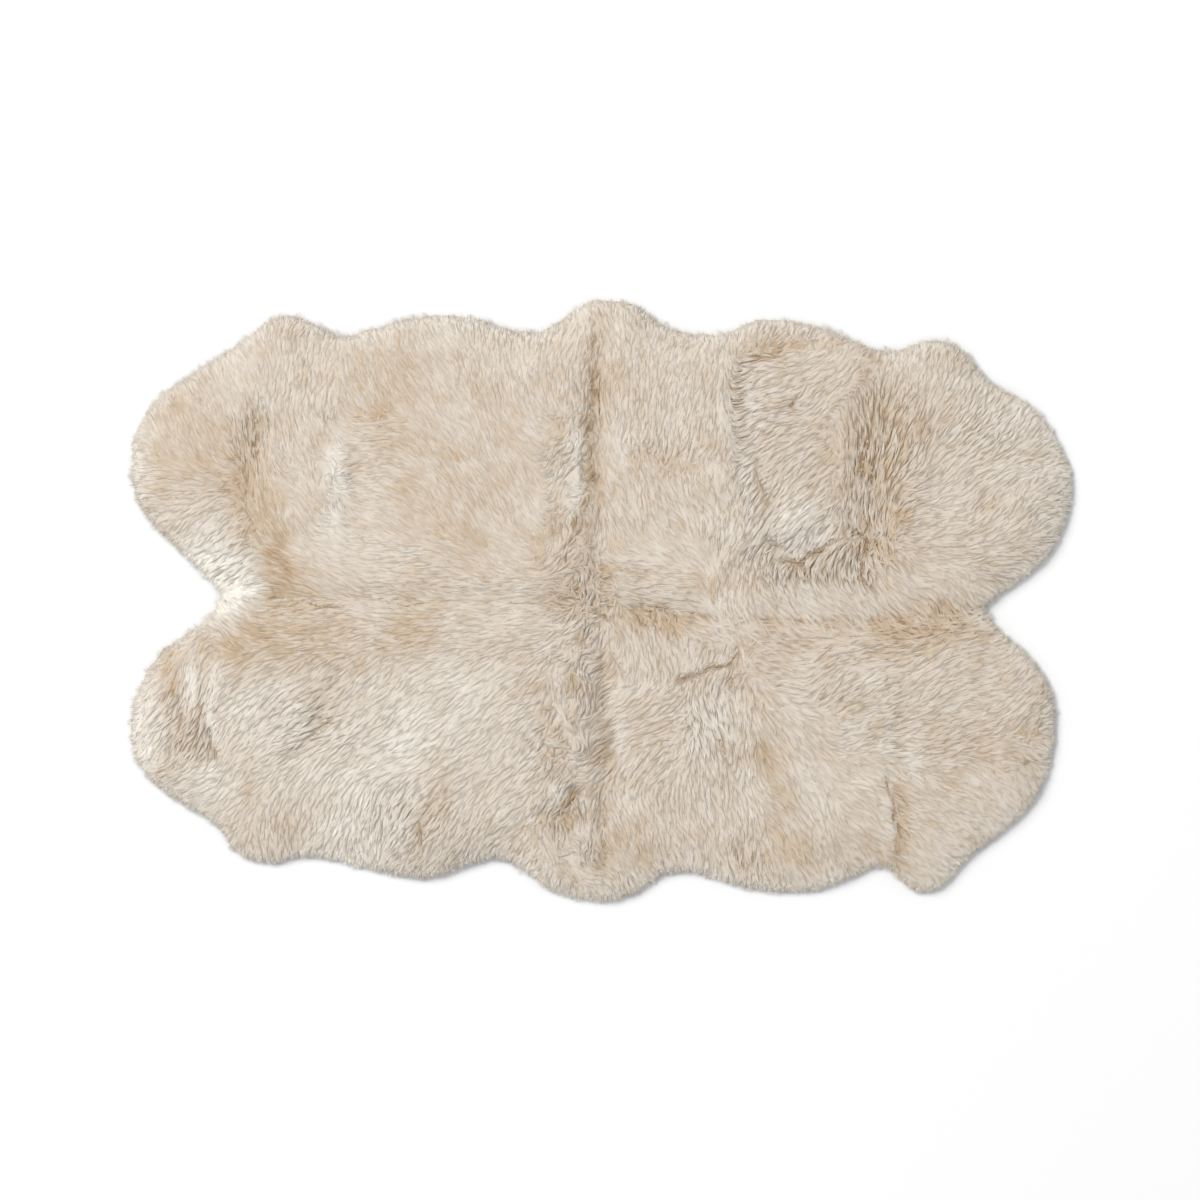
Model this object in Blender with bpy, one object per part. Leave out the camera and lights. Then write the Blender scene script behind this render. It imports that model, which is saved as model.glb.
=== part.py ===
"""A sheepskin rug of four wool-on pelts, sewn edge to edge and lying flat on the floor.

Each pelt is one solid: a flat flesh side on the floor, a lumpy slab of wool above it, and locks of wool
that reach past the hide's cut edge and rest level on the floor. Metres, +Z up, +X along the rug,
+Y towards its back edge. The origin is on the floor, under the middle of the rug's box.
"""

import math
import random

import bmesh
import bpy
from mathutils import Vector, noise
from mathutils.geometry import delaunay_2d_cdt

MM = 0.001

# Driving sizes
RUG_LENGTH = 1.850  # along X, from wool tip to wool tip
PILE = 0.047  # height of the lying wool in the middle of a pelt
EDGE_PILE = 0.027  # height of the wool over the hide's cut edge
SEAM_PILE = 0.037  # height of the wool where two pelts meet
OVERHANG = 0.024  # how far the wool reaches past the hide's cut edge
SEAM_GAP = 0.0003  # between two pelts that are sewn together

# How the wool's height falls away
EDGE_SHOULDER = 0.075  # width of the rounded slope behind the cut edge
SEAM_VALLEY = 0.045  # half width of the valley along a seam
LUMP = 0.0040  # greatest height of the wool's uneven lumps
LUMP_SIZE = 0.085  # from one lump to the next

# Locks at the rim
LOCK_PITCH = 0.0190  # along the cut edge, one lock to the next
LOCK_LENGTHS = (0.84, 1.06)  # shortest and longest, as a share of the way to the wool's reach
LOCK_SWEEP = 0.10  # how far a tip leans to either side, as a share of the lock's width
# A lock's rings: (ring, share of its length, share of its root's width, height)
LOCK_RINGS = (
    ("belly", 0.55, 0.88, 0.0190),
    ("tip", 1.00, 0.36, 0.0045),
)

# Mesh
GRID = 0.0270  # spacing of the points that carry the wool's relief
CLEAR = 0.6  # a point keeps this share of GRID from the outline and from the points of a fold
FOLD_CLEAR = 0.011  # two points of folds keep this far apart
FOLD_FLANK = 1.25  # a fold's outer points lie at this share of its half width
CURVE_STEP = 0.004  # spacing of the points read off a smooth curve
EDGE_SMOOTHING = 6  # passes that smooth the cut edge
MESH_EPSILON = 1e-6  # points nearer than this count as one

# Seams, in millimetres from the middle of the rug: (place, x, y), smoothly joined
SPINE_SEAM = (
    ("back end", 5, 594),
    ("upper back", -4, 400),
    ("middle", -2, -14),
    ("lower front", 6, -320),
    ("front end", 6, -594),
)
CROSS_SEAM = (
    ("left notch", -745, 6),
    ("left half", -420, 2),
    ("middle", -2, -14),
    ("right half", 260, -36),
    ("right quarter", 480, -40),
    ("right notch", 749, -18),
)

# Reach of the wool around each pelt, in millimetres: (place, x, y), smoothly joined, seam to seam
BACK_LEFT_REACH = (
    ("neck", -38, 585),
    ("neck's shoulder", -90, 545),
    ("dip behind the neck", -147, 527),
    ("flank", -280, 562),
    ("flank's end", -400, 552),
    ("dip at the leg", -514, 521),
    ("leg", -580, 552),
    ("leg's tip", -642, 563),
    ("leg's outer side", -704, 514),
    ("slope", -840, 424),
    ("rump's upper corner", -899, 374),
    ("rump", -929, 282),
    ("rump's lower side", -906, 174),
    ("slope to the notch", -800, 66),
)
FRONT_LEFT_REACH = (
    ("slope from the notch", -796, -52),
    ("rump's upper corner", -868, -100),
    ("rump's upper side", -920, -184),
    ("rump", -931, -268),
    ("rump's lower side", -900, -345),
    ("hock", -825, -403),
    ("leg's inner side", -758, -446),
    ("leg's outer side", -722, -500),
    ("leg's tip", -655, -518),
    ("dip at the leg", -580, -503),
    ("flank's start", -470, -525),
    ("flank", -345, -549),
    ("dip before the neck", -205, -509),
    ("neck's shoulder", -110, -568),
    ("neck", -45, -589),
)
FRONT_RIGHT_REACH = (
    ("neck", 58, -582),
    ("neck's shoulder", 122, -540),
    ("dip behind the neck", 182, -536),
    ("flank's start", 270, -563),
    ("flank", 380, -574),
    ("flank's end", 470, -558),
    ("dip at the leg", 552, -523),
    ("leg", 618, -574),
    ("leg's tip", 672, -566),
    ("leg's outer side", 732, -500),
    ("hock", 806, -446),
    ("rump's lower side", 868, -376),
    ("rump", 894, -265),
    ("rump's upper corner", 882, -160),
    ("slope to the notch", 794, -66),
)
BACK_RIGHT_REACH = (
    ("slope from the notch", 811, 29),
    ("rump's lower side", 892, 100),
    ("rump", 929, 226),
    ("rump's upper side", 897, 321),
    ("hock", 846, 386),
    ("leg's inner side", 762, 432),
    ("leg", 716, 495),
    ("leg's tip", 655, 514),
    ("dip at the leg", 562, 490),
    ("flank's end", 460, 531),
    ("flank", 350, 555),
    ("flank's corner", 288, 548),
    ("dip behind the neck", 232, 523),
    ("neck's shoulder", 132, 538),
    ("neck", 74, 582),
)

# Main partings and ridges of the wool, in millimetres:
# (place, from x, from y, to x, to y, half width, rise). A parting's rise is below zero.
FOLDS = (
    ("rump parting", -660, 350, -706, 205, 34, -11),
    ("rump tuft", -520, 315, -528, 145, 20, 7),
    ("tuft's trough", -490, 240, -495, 150, 18, -7),
    ("swept rump edge", -728, 125, -640, 10, 26, -7),
    ("spine ridge, back", -50, 345, -44, 110, 26, 8),
    ("spine trough, back", -12, 520, -14, 340, 17, -8),
    ("pocket by the spine", -44, 158, -36, 140, 20, -10),
    ("trough by the spine", -84, 210, -98, 120, 18, -6),
    ("flank step, upper", 325, 500, 276, 445, 18, -9),
    ("flank step, lower", 272, 440, 280, 215, 20, -6),
    ("flank ridge", 320, 400, 400, 130, 40, 6),
    ("great parting", 572, 440, 530, 130, 46, -13),
    ("parting's whorl", 524, 105, 530, 15, 34, -9),
    ("ledge, left", 200, 80, 245, 112, 17, -8),
    ("ledge, right", 290, 94, 420, 108, 19, -11),
    ("ledge's end", 438, 118, 446, 150, 17, -8),
    ("rump crease, back", 772, 195, 745, 165, 18, -7),
    ("notch hollow", 590, -40, 690, -55, 30, -5),
    ("rump fold, upper", -813, -110, -824, -215, 18, -8),
    ("rump fold, lower", -775, -180, -748, -295, 18, -9),
    ("rump ridge", -752, -150, -764, -215, 15, 6),
    ("haunch trough", -510, -140, -555, -245, 20, -9),
    ("haunch ledge", -470, -185, -605, -320, 20, -8),
    ("flank hollow", -395, -390, -340, -450, 30, -6),
    ("spine ridge, front", -62, -140, -52, -340, 26, 7),
    ("pocket, front", -54, -366, -46, -384, 19, -12),
    ("hollow, front", -90, -415, -62, -450, 24, -9),
    ("spine trough, front", 12, -60, 10, -560, 18, -9),
    ("seam hollow", 60, -30, 180, -42, 22, -7),
    ("parted line", 160, -158, 265, -98, 14, -8),
    ("parted line's hollow", 262, -170, 290, -178, 20, -8),
    ("long crease", 582, -170, 590, -530, 21, -9),
    ("flank dimple", 276, -500, 284, -510, 16, -9),
)

# Name of the pelt, its reach, and whether it lies left of the spine seam and behind the cross seam
PELTS = (
    ("pelt_back_left", BACK_LEFT_REACH, True, True),
    ("pelt_front_left", FRONT_LEFT_REACH, True, False),
    ("pelt_front_right", FRONT_RIGHT_REACH, False, False),
    ("pelt_back_right", BACK_RIGHT_REACH, False, True),
)
WOOL_COLOURS = {  # linear red, green and blue
    "pelt_back_left": (0.640, 0.545, 0.430, 1.0),
    "pelt_front_left": (0.670, 0.580, 0.465, 1.0),
    "pelt_front_right": (0.640, 0.555, 0.445, 1.0),
    "pelt_back_right": (0.630, 0.535, 0.415, 1.0),
}
WOOL_ROUGHNESS = 0.95
SHARP_ANGLE = 60  # degrees: a sharper edge than this is shaded as an edge


def points_of(table):
    """A table's places as flat vectors in metres."""
    return [Vector((x * MM, y * MM)) for _place, x, y in table]


def smooth_line(knots):
    """A smooth curve through the knots, read off every CURVE_STEP."""
    first = knots[0] * 2 - knots[1]
    last = knots[-1] * 2 - knots[-2]
    padded = [first, *knots, last]
    line = []
    for before, start, end, after in zip(padded, padded[1:], padded[2:], padded[3:]):
        steps = max(2, round((end - start).length / CURVE_STEP))
        for step in range(steps):
            t = step / steps
            bend = (end - before) * t
            bend += (before * 2 - start * 5 + end * 4 - after) * t**2
            bend += (start * 3 - before - end * 3 + after) * t**3
            line.append(start + bend / 2)
    return [*line, knots[-1]]


def length_of(line):
    return sum((end - start).length for start, end in zip(line, line[1:]))


def even_marks(line, count):
    """Places at count even steps along a line, which makes count + 1: each is (point before, share)."""
    step_length = length_of(line) / count
    marks = []
    passed = 0.0
    at = 0
    for step in range(count + 1):
        wanted = step * step_length
        stretch = (line[at + 1] - line[at]).length
        while at < len(line) - 2 and passed + stretch < wanted:
            passed += stretch
            at += 1
            stretch = (line[at + 1] - line[at]).length
        marks.append((at, min(1.0, (wanted - passed) / stretch)))
    return marks


def read_off(line, marks):
    return [line[at].lerp(line[at + 1], share) for at, share in marks]


def spaced(line, count):
    """The line read off at count even steps."""
    return read_off(line, even_marks(line, count))


def distance_to(point, line):
    """The distance from a point to a line of points."""
    nearest = RUG_LENGTH
    for start, end in zip(line, line[1:]):
        along = end - start
        share = (point - start).dot(along) / along.length_squared
        foot = start + along * min(1.0, max(0.0, share))
        nearest = min(nearest, (point - foot).length)
    return nearest


def is_inside(point, outline):
    """Whether a point is within a closed outline, by counting the sides that a ray crosses."""
    crossed = False
    for start, end in zip(outline, [*outline[1:], outline[0]]):
        if (start.y > point.y) != (end.y > point.y):
            x = start.x + (end.x - start.x) * (point.y - start.y) / (end.y - start.y)
            crossed ^= point.x < x
    return crossed


def rounded(share):
    """0 to 1 along a quarter of a wave: steep at the start, level at the end."""
    return math.sin(min(1.0, max(0.0, share)) * math.pi / 2)


def fold_line(x1, y1, x2, y2):
    return [Vector((x1, y1)) * MM, Vector((x2, y2)) * MM]


def fold_rise(point):
    """What the partings and ridges add to the wool's height at a point."""
    rise = 0.0
    for _place, x1, y1, x2, y2, half_width, height in FOLDS:
        across = distance_to(point, fold_line(x1, y1, x2, y2)) / (half_width * MM)
        rise += height * MM * math.exp(-across * across)
    return rise


def wool_height(point, edge, seams):
    """The height of the lying wool over a point of the hide."""
    from_edge = rounded(distance_to(point, edge) / EDGE_SHOULDER)
    from_seam = rounded(min(distance_to(point, seam) for seam in seams) / SEAM_VALLEY)
    full = SEAM_PILE + (PILE - SEAM_PILE) * from_seam
    place = Vector((point.x, point.y, 0.0)) / LUMP_SIZE
    full += LUMP * noise.noise(place) + LUMP / 2 * noise.noise(place * 1.8)
    full += fold_rise(point)
    return EDGE_PILE + max(0.0, full - EDGE_PILE) * from_edge


def cut_edge(reach, first, last):
    """The hide's cut edge: the wool's reach drawn in by OVERHANG, from its first to its last point."""
    edge = []
    for i, point in enumerate(reach):
        along = reach[min(len(reach) - 1, i + 1)] - reach[max(0, i - 1)]
        along.normalize()
        edge.append(point + Vector((-along.y, along.x)) * OVERHANG)
    edge[0] = first
    edge[-1] = last
    for _pass in range(EDGE_SMOOTHING):
        for i in range(1, len(edge) - 1):
            edge[i] = (edge[i - 1] + edge[i] * 2 + edge[i + 1]) / 4
    return edge


def half_seam(table, outwards, shift):
    """One half of a seam, from the rug's middle outwards, moved aside by half the gap."""
    middle = [place for place, _x, _y in table].index("middle")
    knots = points_of(table)
    line = smooth_line(knots[middle:] if outwards else knots[middle::-1])
    return [point + shift for point in line]


def drawn_back(line, length):
    """A line with that length taken off its end."""
    count = round(length_of(line) / CURVE_STEP)
    keep = round(count * (1 - length / length_of(line)))
    return spaced(line, count)[: keep + 1]


def fold_points(outline, closed):
    """Points along the folds and on both their flanks, where they lie inside the outline."""
    points = []
    for _place, x1, y1, x2, y2, half_width, _height in FOLDS:
        line = fold_line(x1, y1, x2, y2)
        along = (line[1] - line[0]).normalized()
        aside = Vector((-along.y, along.x)) * half_width * MM * FOLD_FLANK
        for on_line in spaced(line, max(1, round(length_of(line) / GRID))):
            for point in (on_line, on_line + aside, on_line - aside):
                free = all((point - other).length > FOLD_CLEAR for other in points)
                if free and is_inside(point, outline) and distance_to(point, closed) > GRID * CLEAR:
                    points.append(point)
    return points


def relief_points(outline):
    """The points that carry a pelt's relief: those of its folds, and a triangular grid around them."""
    closed = [*outline, outline[0]]
    points = fold_points(outline, closed)
    folded = list(points)
    low = Vector((min(p.x for p in outline), min(p.y for p in outline)))
    high = Vector((max(p.x for p in outline), max(p.y for p in outline)))
    row_step = GRID * math.sin(math.pi / 3)
    for row in range(int((high.y - low.y) / row_step) + 1):
        for column in range(int((high.x - low.x) / GRID) + 1):
            point = low + Vector(((column + 0.5 * (row % 2)) * GRID, row * row_step))
            free = all((point - other).length > GRID * CLEAR for other in folded)
            if free and is_inside(point, outline) and distance_to(point, closed) > GRID * CLEAR:
                points.append(point)
    return points


def draw_out_lock(bm, ring, roots, tips, chance):
    """Draws a lock of wool out of the slab's side: it tapers, and its underside rests on the floor."""
    length = chance.uniform(*LOCK_LENGTHS)
    sweep = chance.uniform(-LOCK_SWEEP, LOCK_SWEEP)
    for _ring, share, width, height in LOCK_RINGS:
        sides = [root.lerp(tip, share * length) for root, tip in zip(roots, tips)]
        middle = sides[0].lerp(sides[1], 0.5 + sweep * share)
        left, right = [middle.lerp(side, width) for side in sides]
        places = ((left, 0.0), (right, 0.0), (right, height), (left, height))
        next_ring = [bm.verts.new((place.x, place.y, z)) for place, z in places]
        for i in range(4):
            j = (i + 1) % 4
            bm.faces.new((ring[i], ring[j], next_ring[j], next_ring[i]))
        ring = next_ring
    bm.faces.new(ring)


def wool_material(name):
    material = bpy.data.materials.new(name + "_wool")
    material.use_nodes = True
    shader = material.node_tree.nodes["Principled BSDF"]
    shader.inputs["Base Color"].default_value = WOOL_COLOURS[name]
    shader.inputs["Roughness"].default_value = WOOL_ROUGHNESS
    shader.inputs["Metallic"].default_value = 0.0
    return material


def make_pelt(name, reach_table, left, back, seed):
    """One pelt: a slab with the wool's relief, walls along its seams, and locks along its cut edge."""
    shift = Vector((-1 if left else 1, 1 if back else -1)) * SEAM_GAP / 2
    spine = half_seam(SPINE_SEAM, not back, shift)
    cross = half_seam(CROSS_SEAM, not left, shift)
    # The wool's reach runs anticlockwise, from the end of one seam to the end of the other.
    first, last = (spine, cross) if left == back else (cross, spine)
    reach = smooth_line([first[-1], *points_of(reach_table), last[-1]])
    first = drawn_back(first, OVERHANG)
    last = drawn_back(last, OVERHANG)
    edge = cut_edge(reach, first[-1], last[-1])

    locks = round(length_of(edge) / LOCK_PITCH)
    marks = even_marks(edge, locks)
    roots = read_off(edge, marks)
    tips = read_off(reach, marks)
    first_points = spaced(first, round(length_of(first) / GRID))
    last_points = spaced(last, round(length_of(last) / GRID))
    outline = [*roots, *last_points[-2::-1], *first_points[1:-1]]
    sides = [(i, (i + 1) % len(outline)) for i in range(len(outline))]
    points = [*outline, *relief_points(outline)]
    triangulated = delaunay_2d_cdt(points, sides, [], 1, MESH_EPSILON)
    places, triangles = triangulated[0], triangulated[2]

    bm = bmesh.new()
    top = [bm.verts.new((p.x, p.y, wool_height(p, edge, (first, last)))) for p in places]
    bottom = [bm.verts.new((p.x, p.y, 0.0)) for p in outline]
    for corners in triangles:
        bm.faces.new([top[i] for i in corners])
    bm.faces.new(bottom)
    chance = random.Random(seed)
    for i, j in sides:
        wall = (bottom[i], bottom[j], top[j], top[i])
        if i < locks:
            draw_out_lock(bm, wall, roots[i : i + 2], tips[i : i + 2], chance)
        else:
            bm.faces.new(wall)
    bmesh.ops.recalc_face_normals(bm, faces=bm.faces)

    mesh = bpy.data.meshes.new(name)
    bm.to_mesh(mesh)
    bm.free()
    mesh.shade_smooth()
    mesh.set_sharp_from_angle(angle=math.radians(SHARP_ANGLE))
    mesh.materials.append(wool_material(name))
    pelt = bpy.data.objects.new(name, mesh)
    bpy.context.scene.collection.objects.link(pelt)
    return pelt


def settle(pelts):
    """Brings the rug to RUG_LENGTH, with the origin on the floor under the middle of its box."""
    xs = [vert.co.x for pelt in pelts for vert in pelt.data.vertices]
    ys = [vert.co.y for pelt in pelts for vert in pelt.data.vertices]
    middle = Vector((min(xs) + max(xs), min(ys) + max(ys))) / 2
    scale = RUG_LENGTH / (max(xs) - min(xs))
    for pelt in pelts:
        for vert in pelt.data.vertices:
            vert.co.xy = (vert.co.xy - middle) * scale


def main():
    for old in list(bpy.data.objects):
        bpy.data.objects.remove(old)
    pelts = []
    for seed, (name, reach_table, left, back) in enumerate(PELTS):
        pelts.append(make_pelt(name, reach_table, left, back, seed))
    settle(pelts)


main()
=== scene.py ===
# %% [markdown]
# # A sheepskin rug of four pelts
#
# The rug is four wool-on sheepskins, sewn edge to edge and laid flat. The CAD model that this script loads
# has one plain solid for each pelt. This lesson dresses those solids: a suede hide below, a dense fleece on
# it, and nearly a hundred and forty thousand strands of wool on the fleece, combed as the wool lies there.

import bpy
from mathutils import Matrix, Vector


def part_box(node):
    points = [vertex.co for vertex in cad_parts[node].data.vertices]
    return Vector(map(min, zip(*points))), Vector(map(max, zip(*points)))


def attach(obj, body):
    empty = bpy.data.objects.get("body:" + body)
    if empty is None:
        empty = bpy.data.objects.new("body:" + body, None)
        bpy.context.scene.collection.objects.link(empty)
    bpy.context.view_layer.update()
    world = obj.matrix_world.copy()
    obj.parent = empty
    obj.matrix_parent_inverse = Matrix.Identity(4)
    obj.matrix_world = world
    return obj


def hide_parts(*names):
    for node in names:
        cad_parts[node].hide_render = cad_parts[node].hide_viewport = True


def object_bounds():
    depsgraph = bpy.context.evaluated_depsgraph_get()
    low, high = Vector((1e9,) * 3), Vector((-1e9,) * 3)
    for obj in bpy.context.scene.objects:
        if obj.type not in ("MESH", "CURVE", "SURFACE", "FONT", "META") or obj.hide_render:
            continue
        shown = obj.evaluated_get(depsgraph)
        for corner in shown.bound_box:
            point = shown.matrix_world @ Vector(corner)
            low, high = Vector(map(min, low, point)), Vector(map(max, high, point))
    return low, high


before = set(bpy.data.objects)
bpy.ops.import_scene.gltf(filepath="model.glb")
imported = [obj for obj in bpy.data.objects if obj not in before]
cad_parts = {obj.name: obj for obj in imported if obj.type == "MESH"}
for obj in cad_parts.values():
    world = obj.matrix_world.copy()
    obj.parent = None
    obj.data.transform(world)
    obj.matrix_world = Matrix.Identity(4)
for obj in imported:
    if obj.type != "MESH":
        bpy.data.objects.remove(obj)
cad_low, cad_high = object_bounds()
print("The solids reach from", tuple(cad_low), "to", tuple(cad_high))

# %% [markdown]
# ## Ground rules
#
# Blender works in metres, and a rug is easier to think of in millimetres. X runs along the rug and Y to
# its back edge, from the middle of the rug. Whatever is uneven in the wool comes from one seeded source of
# chance, so that the rug is the same rug each time the script runs.

# %% Units, chance and names
import itertools
import math

import bpy
import numpy as np
from mathutils.bvhtree import BVHTree
from mathutils.kdtree import KDTree

MM = 0.001
TINY = 1e-9  # keeps a length that is divided by from being zero
chance = np.random.default_rng(seed=7)
PELTS = ("back_left", "back_right", "front_left", "front_right")


def deselect_all():
    """Operators act on all that is selected, so each step starts with nothing selected."""
    bpy.ops.object.select_all(action="DESELECT")


deselect_all()

# %% [markdown]
# ## Camera, floor and light
#
# The rug is seen from straight above, on a white floor. A long lens high up keeps the view nearly parallel.
# The light is a big soft lamp at the upper left, and a white surrounding that fills the shadows.

# %% Camera
FRAME_WIDTH = 2.352  # metres of floor across the square picture
LENS = 100  # mm
SENSOR = 36  # mm
WOOL_LEVEL = 0.035  # height in metres at which the picture's scale is true
SIGHT = 50  # metres that the camera sees, well past the floor
camera_height = WOOL_LEVEL + FRAME_WIDTH * LENS / SENSOR
bpy.ops.object.camera_add(location=(0, 0, camera_height), rotation=(0, 0, 0))
camera = bpy.context.object
camera.data.lens = LENS
camera.data.sensor_width = SENSOR
camera.data.clip_end = SIGHT
bpy.context.scene.camera = camera
print("The camera is", round(camera_height, 2), "m up")


# %% Colours and nodes
def linear(hex_colour):
    """A colour such as C8B496, by the sRGB curve, as Blender's linear red, green, blue and alpha."""
    channels = [int(hex_colour[i : i + 2], 16) / 255 for i in (0, 2, 4)]
    return [c / 12.92 if c <= 0.04045 else ((c + 0.055) / 1.055) ** 2.4 for c in channels] + [1.0]


def new_material(name):
    """An empty material with its output, and the shader that everything here ends in."""
    material = bpy.data.materials.new(name)
    material.use_nodes = True
    material.node_tree.nodes.clear()
    shader = add_node(material, "ShaderNodeBsdfPrincipled")
    add_node(material, "ShaderNodeOutputMaterial", Surface=shader.outputs["BSDF"])
    return material, shader


def add_node(material, kind, settings=None, **inputs):
    """Adds a node. An input is given a value, or an output socket that it is linked to."""
    node = material.node_tree.nodes.new(kind)
    for name, value in (settings or {}).items():
        setattr(node, name, value)
    for name, value in inputs.items():
        set_input(material, node, name.replace("_", " "), value)
    return node


def set_input(material, node, name, value):
    """Sets or links one input, given by its name, or by its number after an underscore."""
    socket = node.inputs[int(name[1:])] if name[1:].isdigit() else node.inputs[name]
    if isinstance(value, bpy.types.NodeSocket):
        material.node_tree.links.new(value, socket)
    else:
        socket.default_value = value


# %% Floor
FLOOR_SIZE = 40  # metres, so that no edge shows
bpy.ops.mesh.primitive_plane_add(size=FLOOR_SIZE, location=(0, 0, 0))
floor = bpy.context.object
floor.name = "floor"
paper, shader = new_material("white_paper_floor")
shader.inputs["Base Color"].default_value = linear("F1F1F1")
shader.inputs["Roughness"].default_value = 0.9
floor.data.materials.append(paper)

# %% Light
SURROUNDING_STRENGTH = 0.64
KEY_PLACE = (-14, 11.5, 15.5)  # metres
KEY_SIZE = 12  # metres across
KEY_WATTS = 5000
world = bpy.data.worlds.new("studio")
bpy.context.scene.world = world
world.use_nodes = True
world.node_tree.nodes["Background"].inputs["Color"].default_value = linear("FFFFFF")
world.node_tree.nodes["Background"].inputs["Strength"].default_value = SURROUNDING_STRENGTH
bpy.ops.object.light_add(type="AREA", location=KEY_PLACE)
key = bpy.context.object
key.data.shape = "DISK"
key.data.size = KEY_SIZE
key.data.energy = KEY_WATTS
key.rotation_euler = (-key.location).to_track_quat("-Z", "Y").to_euler()
bpy.context.scene.view_settings.view_transform = "Standard"
deselect_all()
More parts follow.
